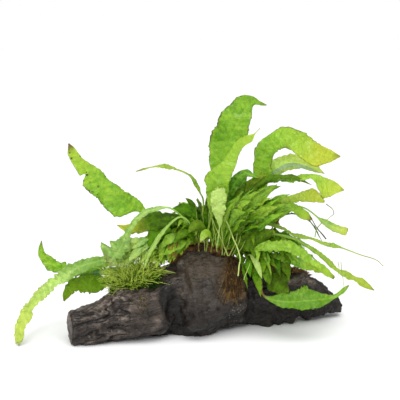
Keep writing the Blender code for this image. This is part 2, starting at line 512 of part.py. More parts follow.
def wood_skin(places):
    """Return the closed skin of the log through its stations."""
    turns = [2.0 * math.pi * side / WOOD_SIDES for side in range(WOOD_SIDES)]
    return loft([[wood_point(place, turn) for turn in turns] for place in places])


def build_wood(collection):
    """Build the log, split at its two forks, and return a search tree of its whole skin."""
    half_gap = 0.5 * WOOD_GAP
    limbs = {
        "driftwood_left_limb": wood_places(LEFT_END, LEFT_FORK - half_gap),
        "driftwood_stump": wood_places(LEFT_FORK + half_gap, RIGHT_FORK - half_gap),
        "driftwood_right_limb": wood_places(RIGHT_FORK + half_gap, RIGHT_END),
    }
    for name, places in limbs.items():
        add_mesh(collection, name, wood_skin(places), "wood")
    whole = wood_skin(sum(limbs.values(), []))
    tree = BVHTree.FromBMesh(whole)
    whole.free()
    return tree


def height_on(tree, x, y):
    """Return the height of the skin straight under a place in plan."""
    hit = tree.ray_cast(Vector((x, y, FAR_OUT)), Vector((0.0, 0.0, -1.0)))[0]
    return hit.z


def build_rhizomes(collection, tree):
    """Lay the creeping stems on the wood and return their middle lines."""
    lines = {}
    for name, plan in RHIZOMES.items():
        flat = even_points([Vector((x, y, 0.0)) for x, y in plan], 2 * len(plan) + 1)
        line = []
        for index, point in enumerate(flat):
            ahead = flat[min(index + 1, len(flat) - 1)] - flat[max(index - 1, 0)]
            side = Vector((-ahead.y, ahead.x, 0.0)).normalized()
            heights = []
            for share in RHIZOME_PROBES:
                spot = point + side * RHIZOME_RADIUS * share
                arch = RHIZOME_RADIUS * math.sqrt(1.0 - share**2)
                heights.append(height_on(tree, spot.x, spot.y) + arch)
            line.append(Vector((point.x, point.y, max(heights) + RHIZOME_CLEARANCE)))
        lines[name] = line
        curve = bpy.data.curves.new(name, "CURVE")
        curve.dimensions = "3D"
        curve.bevel_depth = RHIZOME_RADIUS * MM
        curve.bevel_resolution = 2
        curve.use_fill_caps = True
        spline = curve.splines.new("POLY")
        spline.points.add(len(line) - 1)
        for index, point in enumerate(line):
            spline.points[index].co = (*(point * MM), 1.0)
            spline.points[index].radius = 1.0 - RHIZOME_NOTCH * (index % 2)
        add_object(collection, name, curve, "rhizome")
    return lines


def build_moss(collection, tree):
    """Build the moss cushion, a lumpy mound whose underside follows the wood."""
    builder = bmesh.new()
    bmesh.ops.create_icosphere(builder, subdivisions=3, radius=1.0)
    centre = Vector(MOSS_CENTRE)
    for vertex in builder.verts:
        lump = 1.0 + MOSS_LUMP * noise.noise(vertex.co * 2.2)
        place = centre + Vector([vertex.co[axis] * MOSS_RADII[axis] for axis in range(3)]) * lump
        place.z = max(place.z, height_on(tree, place.x, place.y) + MOSS_CLEARANCE)
        vertex.co = place
    add_mesh(collection, "moss_tuft", builder, "moss")


def mat_point(mat, tree, row, column, lift):
    """Return a point of a mat, lifted off the wood towards the side it is seen from."""
    first, second, third, fourth = [Vector(corner) for corner in mat.corners]
    down, over = row / (MAT_ROWS - 1), column / (MAT_COLUMNS - 1)
    spot = first.lerp(second, over).lerp(fourth.lerp(third, over), down)
    if mat.seen_from is FROM_FRONT:
        start = Vector((spot.x, -FAR_OUT, spot.y))
    else:
        start = Vector((spot.x, spot.y, FAR_OUT))
    spot, normal = tree.ray_cast(start, mat.seen_from)[:2]
    return spot + (normal - mat.seen_from).normalized() * lift


def build_mats(collection, tree):
    """Build the root mats and the dry moss patch as thin pads on the wood."""
    for mat in MATS:
        sections = []
        for row in range(MAT_ROWS):
            bulge = math.sin(math.pi * row / (MAT_ROWS - 1))
            under = [mat_point(mat, tree, row, column, MAT_CLEARANCE) for column in range(MAT_COLUMNS)]
            over = []
            for column in range(MAT_COLUMNS):
                crown = bulge * math.sin(math.pi * column / (MAT_COLUMNS - 1))
                lift = MAT_CLEARANCE + MAT_EDGE + (mat.thickness - MAT_EDGE) * crown
                over.append(mat_point(mat, tree, row, column, lift))
            sections.append(under + list(reversed(over)))
        add_mesh(collection, mat.name, loft(sections), mat.finish)


def stem_foot(leaf, tree, lines):
    """Return the foot of a leaf's stem: on the ridge of a rhizome close by, or else on the wood."""
    root = Vector((*leaf.root, 0.0))
    nearest = None
    for line in lines.values():
        for here, following in zip(line, line[1:]):
            for step in range(5):
                point = here.lerp(following, step / 4)
                away = (point.xy - root.xy).length
                if nearest is None or away < (nearest.xy - root.xy).length:
                    nearest = point
    aside = root.xy - nearest.xy
    if aside.length > 2.0 * RHIZOME_RADIUS:
        return Vector((root.x, root.y, height_on(tree, root.x, root.y) + STEM_LIFT))
    if aside.length > FOOT_SPREAD * RHIZOME_RADIUS:
        aside *= FOOT_SPREAD * RHIZOME_RADIUS / aside.length
    ridge = math.sqrt(RHIZOME_RADIUS**2 - aside.length_squared)
    return Vector((nearest.x + aside.x, nearest.y + aside.y, nearest.z + ridge + STEM_LIFT))


def half_widths(leaf, blade):
    """Return the half widths of a leaf to the left and right of its midrib at a place of its blade."""
    if not leaf.outline:
        rise = leaf.taper * leaf.widest / (1.0 - leaf.widest)
        fullness = (blade / leaf.widest) ** rise * ((1.0 - blade) / (1.0 - leaf.widest)) ** leaf.taper
        return 0.5 * leaf.width * fullness, 0.5 * leaf.width * fullness
    for here, after in zip(leaf.outline, leaf.outline[1:]):
        if blade <= after[0]:
            break
    share = (blade - here[0]) / (after[0] - here[0])
    return tuple(here[side] + (after[side] - here[side]) * share for side in (1, 2))


def leaf_sections(leaf, foot):
    """Return the four-point sections of a leaf from the foot of its stem to its tip."""
    points = [foot] + [Vector(point) for point in leaf.path]
    length = sum((after - here).length for here, after in zip(points, points[1:]))
    count = min(max(round(length / STATION_STEP) + 2, FEWEST_STATIONS), MOST_STATIONS)
    middle = even_points(points, count)
    sections = []
    for index, point in enumerate(middle):
        along = index / (count - 1)
        blade = max(0.0, (along - leaf.stem) / (1.0 - leaf.stem))
        tangent = (middle[min(index + 1, count - 1)] - middle[max(index - 1, 0)]).normalized()
        side = Vector(leaf.face).cross(tangent).normalized()
        twist = Matrix.Rotation(math.radians(leaf.turn) * smooth_step(blade), 3, tangent)
        side = twist @ side
        face = tangent.cross(side)
        thin = STEM_RADIUS + (TIP_RADIUS - STEM_RADIUS) * smooth_step(along)
        left, right = half_widths(leaf, blade)
        thickness = 0.5 * BLADE_THICKNESS if max(left, right) > STEM_RADIUS else thin
        spread = math.sqrt(max(0.0, math.sin(math.pi * blade)))
        margins = []
        for sign, reach in ((-1.0, right), (1.0, left)):
            half = max(thin, reach)
            phase = 2.0 * math.pi * leaf.waves * blade + sign * MARGIN_PHASE + len(leaf.name)
            wave = math.sin(phase) * min(1.0, half / RIPPLE_REACH)
            lift = (leaf.cup * half + leaf.ripple * wave) * spread
            margins.append(point + side * sign * half + face * lift)
        sections.append((margins[0], point + face * thickness, margins[1], point - face * thickness))
    return sections


def build_leaves(collection, tree, lines):
    """Build every leaf as one solid of stem and blade."""
    for leaf in LEAVES:
        sections = leaf_sections(leaf, stem_foot(leaf, tree, lines))
        add_mesh(collection, leaf.name, loft(sections, thin=True), leaf.finish)


def main():
    """Build the whole plant on its wood."""
    clear_scene()
    collection = bpy.data.collections.new(COLLECTION_NAME)
    bpy.context.scene.collection.children.link(collection)
    tree = build_wood(collection)
    lines = build_rhizomes(collection, tree)
    build_moss(collection, tree)
    build_mats(collection, tree)
    build_leaves(collection, tree, lines)


main()
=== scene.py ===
"""Java fern on driftwood, dressed: fissured wood, creeping stems, leaves, moss and roots in a pale studio.

Lengths in the tables are millimetres in the part's frame: +X along the wood to its thin end, +Y away
from the front, +Z up.
"""

import logging
import math
import random
from dataclasses import dataclass, field
from enum import Enum
from typing import Callable, Iterable, Sequence

import bpy
import numpy as np
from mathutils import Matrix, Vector, noise
from mathutils.bvhtree import BVHTree


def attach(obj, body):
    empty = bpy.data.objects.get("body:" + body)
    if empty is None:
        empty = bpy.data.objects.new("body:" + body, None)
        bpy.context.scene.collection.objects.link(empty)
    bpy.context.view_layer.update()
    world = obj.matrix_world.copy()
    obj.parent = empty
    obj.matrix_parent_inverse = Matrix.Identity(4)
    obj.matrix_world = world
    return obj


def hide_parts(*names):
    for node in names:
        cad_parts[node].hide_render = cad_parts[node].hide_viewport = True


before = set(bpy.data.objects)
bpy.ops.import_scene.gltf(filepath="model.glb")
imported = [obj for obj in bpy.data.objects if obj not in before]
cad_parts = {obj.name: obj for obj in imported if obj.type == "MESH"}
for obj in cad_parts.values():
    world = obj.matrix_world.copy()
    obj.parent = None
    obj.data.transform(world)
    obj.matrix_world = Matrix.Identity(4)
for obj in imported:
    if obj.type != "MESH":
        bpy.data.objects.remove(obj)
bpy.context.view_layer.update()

LOG = logging.getLogger("java_fern")
MM = 0.001
BODY = "root"
BLADE = "blade"
TINT = "tint"
SPLINE_STEPS = 60
TUBE_HELPER = (0.31, 0.87, 0.38)

Vec2 = tuple[float, float]
Vec3 = tuple[float, float, float]
Colour = tuple[float, float, float]
Array = np.ndarray
Object = bpy.types.Object
Material = bpy.types.Material
Socket = bpy.types.NodeSocket
Sockets = bpy.types.NodeOutputs


def smooth(share: Array | float) -> Array | float:
    """Ease a share from 0 to 1, held at both ends."""
    held = np.clip(share, 0.0, 1.0)
    return held * held * (3.0 - 2.0 * held)


def ramp(value: Array | float, start: float, stop: float) -> Array | float:
    """Ease from 0 to 1 while a value goes from start to stop, which may be the lower one."""
    return smooth((value - start) / (stop - start))


def bell(value: Array | float, reach: float) -> Array | float:
    """Return 1 where a value is 0, falling off smoothly over the reach on both sides."""
    return np.exp(-((value / reach) ** 2))


def unit(vectors: Array) -> Array:
    """Scale each vector in the last axis to length one."""
    return vectors / np.maximum(np.linalg.norm(vectors, axis=-1, keepdims=True), 1e-9)


def noise_line(places: Array, seed: float) -> Array:
    """Read smooth noise along a line.

    Args:
        places: where to read it, one unit apart for unrelated values.
        seed: picks a line of its own.

    Returns:
        A value of about -1 to 1 for each place.
    """
    return np.array([noise.noise(Vector((float(place), seed, 0.37 * seed))) for place in places])


def noise_at(points: Array, size: float, offset: float = 0.0, octaves: int = 1) -> Array:
    """Read smooth noise in space.

    Args:
        points: places in millimetres, one a row.
        size: about how far apart unrelated values are, in millimetres.
        offset: shifts the noise so that two readings differ.
        octaves: how many ever finer layers are added.

    Returns:
        A value of about -1 to 1 for each point.
    """
    places = points / size + offset
    if octaves == 1:
        return np.array([noise.noise(Vector(place)) for place in places])
    return np.array([noise.fractal(Vector(place), 1.0, 2.0, octaves) for place in places])


def spline(before: Array, start: Array, stop: Array, after: Array, share: Array | float) -> Array:
    """Return where the smooth curve through four points is, at a share of the way from start to stop."""
    return 0.5 * (
        2.0 * start
        + (stop - before) * share
        + (2.0 * before - 5.0 * start + 4.0 * stop - after) * share**2
        + (3.0 * start - before - 3.0 * stop + after) * share**3
    )


def curve_points(controls: Array, count: int) -> Array:
    """Return evenly spaced points on the smooth curve that passes through the controls.

    Args:
        controls: the points that the curve passes, one a row.
        count: how many points to return.

    Returns:
        The points, one a row, the first and last at the curve's ends.
    """
    padded = np.vstack([2.0 * controls[0] - controls[1], controls, 2.0 * controls[-1] - controls[-2]])
    spans = len(controls) - 1
    place = np.linspace(0.0, spans, SPLINE_STEPS * spans + 1)
    index = np.minimum(place.astype(int), spans - 1)
    fine = spline(*(padded[index + step] for step in range(4)), (place - index)[:, None])
    travelled = np.concatenate([[0.0], np.cumsum(np.linalg.norm(np.diff(fine, axis=0), axis=1))])
    wanted = np.linspace(0.0, travelled[-1], count)
    return np.stack([np.interp(wanted, travelled, fine[:, axis]) for axis in range(3)], axis=1)


def placed(name: str, data: bpy.types.ID) -> Object:
    """Make an object of some data and put it in the scene."""
    made = bpy.data.objects.new(name, data)
    bpy.context.scene.collection.objects.link(made)
    return made


@dataclass
class Skin:
    """The points and faces of one piece, gathered part by part before its mesh is made.

    Two vectors go with each point for the materials. In a leaf they are its place on the blade (across
    and along in millimetres, then how light the leaf is, partly its own colour and partly painted light
    and shade) and its tint (yellow, brown, specks). In a fibre the tint starts with how light it is. The
    wood's are named where its marks are made.
    """

    points: list[Array] = field(default_factory=list)
    faces: list[Array] = field(default_factory=list)
    blades: list[Array] = field(default_factory=list)
    tints: list[Array] = field(default_factory=list)
    count: int = 0

    def add(self, points: Array, faces: Array, blade: Array | None = None, tint: Array | None = None) -> None:
        """Add one closed part.

        Args:
            points: its points in millimetres.
            faces: its faces, four indices a row, with the last two equal in a triangle.
            blade: the first vector of each point.
            tint: the second vector of each point.
        """
        nothing = np.zeros((len(points), 3))
        self.points.append(points)
        self.faces.append(faces + self.count)
        self.blades.append(nothing if blade is None else blade)
        self.tints.append(nothing if tint is None else tint)
        self.count += len(points)

    def make(self, name: str, material: Material) -> Object:
        """Turn the gathered parts into one smooth object in metres.

        Args:
            name: the object's name.
            material: what it is dressed with.

        Returns:
            The object.
        """
        points = np.vstack(self.points) * MM
        faces = [row if row[2] != row[3] else row[:3] for row in np.vstack(self.faces).tolist()]
        mesh = bpy.data.meshes.new(name)
        mesh.from_pydata(points.tolist(), [], faces)
        for label, rows in ((BLADE, self.blades), (TINT, self.tints)):
            layer = mesh.attributes.new(label, "FLOAT_VECTOR", "POINT")
            layer.data.foreach_set("vector", np.vstack(rows).astype(np.float32).ravel())
        mesh.materials.append(material)
        mesh.shade_smooth()
        mesh.update()
        return placed(name, mesh)


def ring_faces(rings: int, sides: int) -> Array:
    """Return the faces of a tube of rings, with a centre point after the rings at each end.

    Args:
        rings: how many rings of points the tube has.
        sides: how many points are in a ring.

    Returns:
        The faces, four indices a row.
    """
    ring, side = np.meshgrid(np.arange(rings - 1), np.arange(sides), indexing="ij")
    after = (side + 1) % sides
    walls = np.stack([ring * sides + side, ring * sides + after, (ring + 1) * sides + after,
                      (ring + 1) * sides + side], axis=-1).reshape(-1, 4)
    around = np.arange(sides)
    turned = (around + 1) % sides
    start, stop = rings * sides, rings * sides + 1
    first = np.stack([turned, around, np.full(sides, start), np.full(sides, start)], axis=1)
    top = (rings - 1) * sides
    last = np.stack([top + around, top + turned, np.full(sides, stop), np.full(sides, stop)], axis=1)
    return np.vstack([walls, first, last])


def tube(line: Array, radii: Array, sides: int, flat: float = 1.0) -> tuple[Array, Array]:
    """Return the points and faces of a tube round a line.

    Args:
        line: its middle, one point a row.
        radii: its radius at each point.
        sides: how many points are in a ring.
        flat: its thickness as a share of its width.

    Returns:
        The points and the faces.
    """
    ahead = unit(np.gradient(line, axis=0))
    side = unit(np.cross(ahead, np.array(TUBE_HELPER)))
    above = np.cross(ahead, side)
    turns = np.linspace(0.0, 2.0 * math.pi, sides, endpoint=False)
    offset = side[:, None, :] * np.cos(turns)[None, :, None]
    offset = offset + above[:, None, :] * (flat * np.sin(turns))[None, :, None]
    rings = line[:, None, :] + offset * radii[:, None, None]
    points = np.vstack([rings.reshape(-1, 3), line[:1], line[-1:]])
    return points, ring_faces(len(line), sides)


def dress(piece: Object, nodes: Sequence[str] = ()) -> Object:
    """Fix a piece to the part and hide the solids that it stands for."""
    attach(piece, BODY)
    if nodes:
        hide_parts(*nodes)
    LOG.info("%s: %d faces", piece.name, len(piece.data.polygons))
    return piece


class Recipe:
    """Adds shader nodes to one tree and wires them."""

    def __init__(self, tree: bpy.types.NodeTree) -> None:
        """Keep the tree that the nodes go into."""
        self.tree = tree

    def node(self, kind: str, inputs: dict | None = None, **settings: object) -> Sockets:
        """Add a node.

        Args:
            kind: its type.
            inputs: a value or a socket for each input, by name or number.
            settings: its other settings.

        Returns:
            What it puts out.
        """
        made = self.tree.nodes.new(kind)
        for key, value in settings.items():
            setattr(made, key, value)
        for key, value in (inputs or {}).items():
            socket = made.inputs[key]
            if isinstance(value, Socket):
                self.tree.links.new(value, socket)
            elif socket.type == "RGBA":
                socket.default_value = (*value, 1.0)
            else:
                socket.default_value = value
        return made.outputs

    def math(self, operation: str, first: object, second: object = 0.0) -> Socket:
        """Return the result of a sum of one or two values."""
        return self.node("ShaderNodeMath", {0: first, 1: second}, operation=operation)[0]

    def plus(self, first: object, second: object) -> Socket:
        """Return two values added."""
        return self.math("ADD", first, second)

    def minus(self, first: object, second: object) -> Socket:
        """Return the first value less the second."""
        return self.math("SUBTRACT", first, second)

    def times(self, first: object, second: object) -> Socket:
        """Return two values multiplied."""
        return self.math("MULTIPLY", first, second)

    def remap(self, value: Socket, low: float, high: float, start: float = 0.0, stop: float = 1.0) -> Socket:
        """Return a value eased from start to stop while the given one goes from low to high."""
        inputs = {"Value": value, "From Min": low, "From Max": high, "To Min": start, "To Max": stop}
        return self.node("ShaderNodeMapRange", inputs, interpolation_type="SMOOTHSTEP")[0]

    def mix(self, share: object, first: object, second: object, blend: str = "MIX") -> Socket:
        """Return a blend of two colours."""
        inputs = {0: share, 6: first, 7: second}
        return self.node("ShaderNodeMix", inputs, data_type="RGBA", blend_type=blend)[2]

    def grey(self, value: Socket) -> Socket:
        """Return a vector of three equal numbers."""
        return self.node("ShaderNodeCombineXYZ", {0: value, 1: value, 2: value})[0]

    def dimmed(self, colour: Socket, value: Socket) -> Socket:
        """Return a colour times a number."""
        return self.mix(1.0, colour, self.grey(value), "MULTIPLY")

    def parts(self, vector: Socket) -> Sockets:
        """Return the three numbers of a vector."""
        return self.node("ShaderNodeSeparateXYZ", {0: vector})

    def noise(self, place: Socket, size: float, detail: float = 2.0, distortion: float = 0.0) -> Socket:
        """Return noise whose marks are about size millimetres wide."""
        inputs = {"Vector": place, "Scale": 1.0 / size, "Detail": detail, "Roughness": 0.55,
                  "Distortion": distortion}
        return self.node("ShaderNodeTexNoise", inputs)["Fac"]

    def cells(self, place: Socket, density: float, feature: str = "F1") -> Socket:
        """Return how far the closest cell's point or edge is, with so many cells in a millimetre."""
        inputs = {"Vector": place, "Scale": density}
        return self.node("ShaderNodeTexVoronoi", inputs, feature=feature)["Distance"]

    def place(self) -> Socket:
        """Return the point's place on the part in millimetres."""
        return self.scaled(self.node("ShaderNodeTexCoord")["Object"], 1.0 / MM)

    def scaled(self, vector: Socket, factor: float) -> Socket:
        """Return a vector times a number."""
        inputs = {0: vector, "Scale": factor}
        return self.node("ShaderNodeVectorMath", inputs, operation="SCALE")[0]

    def stretched(self, vector: Socket, factors: Vec3) -> Socket:
        """Return a vector with each axis scaled by its own factor."""
        return self.node("ShaderNodeVectorMath", {0: vector, 1: factors}, operation="MULTIPLY")[0]

    def stored(self, label: str) -> Socket:
        """Return a vector stored on the mesh."""
        return self.node("ShaderNodeAttribute", attribute_name=label)["Vector"]

    def bump(self, strength: float, reach: float, height: Socket) -> Socket:
        """Return the normal of a surface whose height goes over the reach, in metres."""
        inputs = {"Strength": strength, "Distance": reach, "Height": height}
        return self.node("ShaderNodeBump", inputs)[0]

    def gloss(self, colour: object, rough: object, specular: float, more: dict | None = None) -> Socket:
        """Return a solid shader, with more of its inputs by name."""
        inputs = {"Base Color": colour, "Roughness": rough, "Specular IOR Level": specular, **(more or {})}
        return self.node("ShaderNodeBsdfPrincipled", inputs)[0]

    def lit_through(self, shader: Socket, share: float, inputs: dict) -> Socket:
        """Return a shader that also lets a share of the light through."""
        through = self.node("ShaderNodeBsdfTranslucent", inputs)[0]
        return self.node("ShaderNodeMixShader", {0: share, 1: shader, 2: through})[0]

    def cover(self, shader: Socket) -> None:
        """Put a shader on the material's surface."""
        self.node("ShaderNodeOutputMaterial", {"Surface": shader})


Fill = Callable[[Recipe, Sockets], dict[str, Socket]]
Kinds = dict[str, str]


def shader_group(name: str, inputs: Kinds, outputs: Kinds, fill: Fill) -> bpy.types.NodeTree:
    """Build a shader node group once.

    Args:
        name: the group's name.
        inputs: the kind of each named input.
        outputs: the kind of each named output.
        fill: adds the nodes and returns what feeds each output.

    Returns:
        The group's tree.
    """
    tree = bpy.data.node_groups.new(name, "ShaderNodeTree")
    for way, sockets in (("INPUT", inputs), ("OUTPUT", outputs)):
        for label, kind in sockets.items():
            tree.interface.new_socket(label, in_out=way, socket_type=kind)
    given = tree.nodes.new("NodeGroupInput")
    result = tree.nodes.new("NodeGroupOutput")
    for label, socket in fill(Recipe(tree), given.outputs).items():
        tree.links.new(socket, result.inputs[label])
    return tree


def new_material(name: str) -> tuple[Material, Recipe]:
    """Return an empty material and its recipe."""
    material = bpy.data.materials.new(name)
    material.use_nodes = True
    material.node_tree.nodes.clear()
    return material, Recipe(material.node_tree)


VECTOR = "NodeSocketVector"
COLOUR = "NodeSocketColor"
VALUE = "NodeSocketFloat"


# Leaves

FRONT: Vec3 = (0.0, -1.0, 0.15)


class Hue(Enum):
    """The leaf finishes."""

    BRIGHT = "leaf_bright"
    PALE = "leaf_pale"
    # darker green: partly the leaves' own colour, partly painted shade for leaves inside the bush
    DEEP = "leaf_deep"
    OLIVE = "leaf_olive"
    GREY = "leaf_grey"


@dataclass(frozen=True)
class Bite:
    """A torn notch: its side (1 left, -1 right of the face), place, half length and depth as shares."""

    side: float
    place: float
    reach: float
    depth: float


@dataclass(frozen=True)
class Wear:
    """What age and shade have done to one leaf.

    yellow is how far the tip has yellowed, from the share yellow_from on; brown the same for the
    dead end. specks is how many dark spots it has. ragged is how far its torn end runs in and out in
    millimetres. rim is how brown its margin is. frill is how much its margin waves and its blade
    puckers. tone makes the whole leaf lighter, or darker when it is below zero, partly for its own
    colour and partly as painted light and shade. bare is how brown the blade's start is, torn how
    uneven its outline, dim how much darker it is towards its foot, partly its own colour and partly
    painted shade inside the bush.
    """

    yellow: float = 0.0
    yellow_from: float = 0.55
    brown: float = 0.5
    brown_from: float = 0.95
    specks: float = 0.0
    ragged: float = 0.0
    rim: float = 0.45
    bites: tuple[Bite, ...] = ()
    frill: float = 1.0
    tone: float = 0.0
    bare: float = 0.0
    torn: float = 1.0
    dim: float = 0.15


@dataclass(frozen=True)
class Leaf:
    """One leaf: where its stem is rooted, the points its midrib passes and the shape of its blade.

    root is the place of the stem in plan. path is the rest of the midrib to the tip. width is how
    wide the blade is at most, widest where along it that is, taper the fullness of the tip. face is
    the way the blade looks and turn its twist to the tip in degrees. stem is the bare share of the
    length. ripple and waves are how far the margin runs up and down, and how often. outline takes the
    place of width, widest and taper where that plain shape isn't close enough: rows of the place along
    the blade and the half width, or the half widths left and right of the midrib.
    """

    name: str
    root: Vec2
    path: tuple[Vec3, ...]
    width: float = 0.0
    hue: Hue = Hue.BRIGHT
    face: Vec3 = FRONT
    turn: float = 0.0
    stem: float = 0.35
    widest: float = 0.45
    taper: float = 0.9
    ripple: float = 1.2
    waves: float = 3.0
    outline: tuple[tuple[float, ...], ...] = ()
    wear: Wear = Wear()


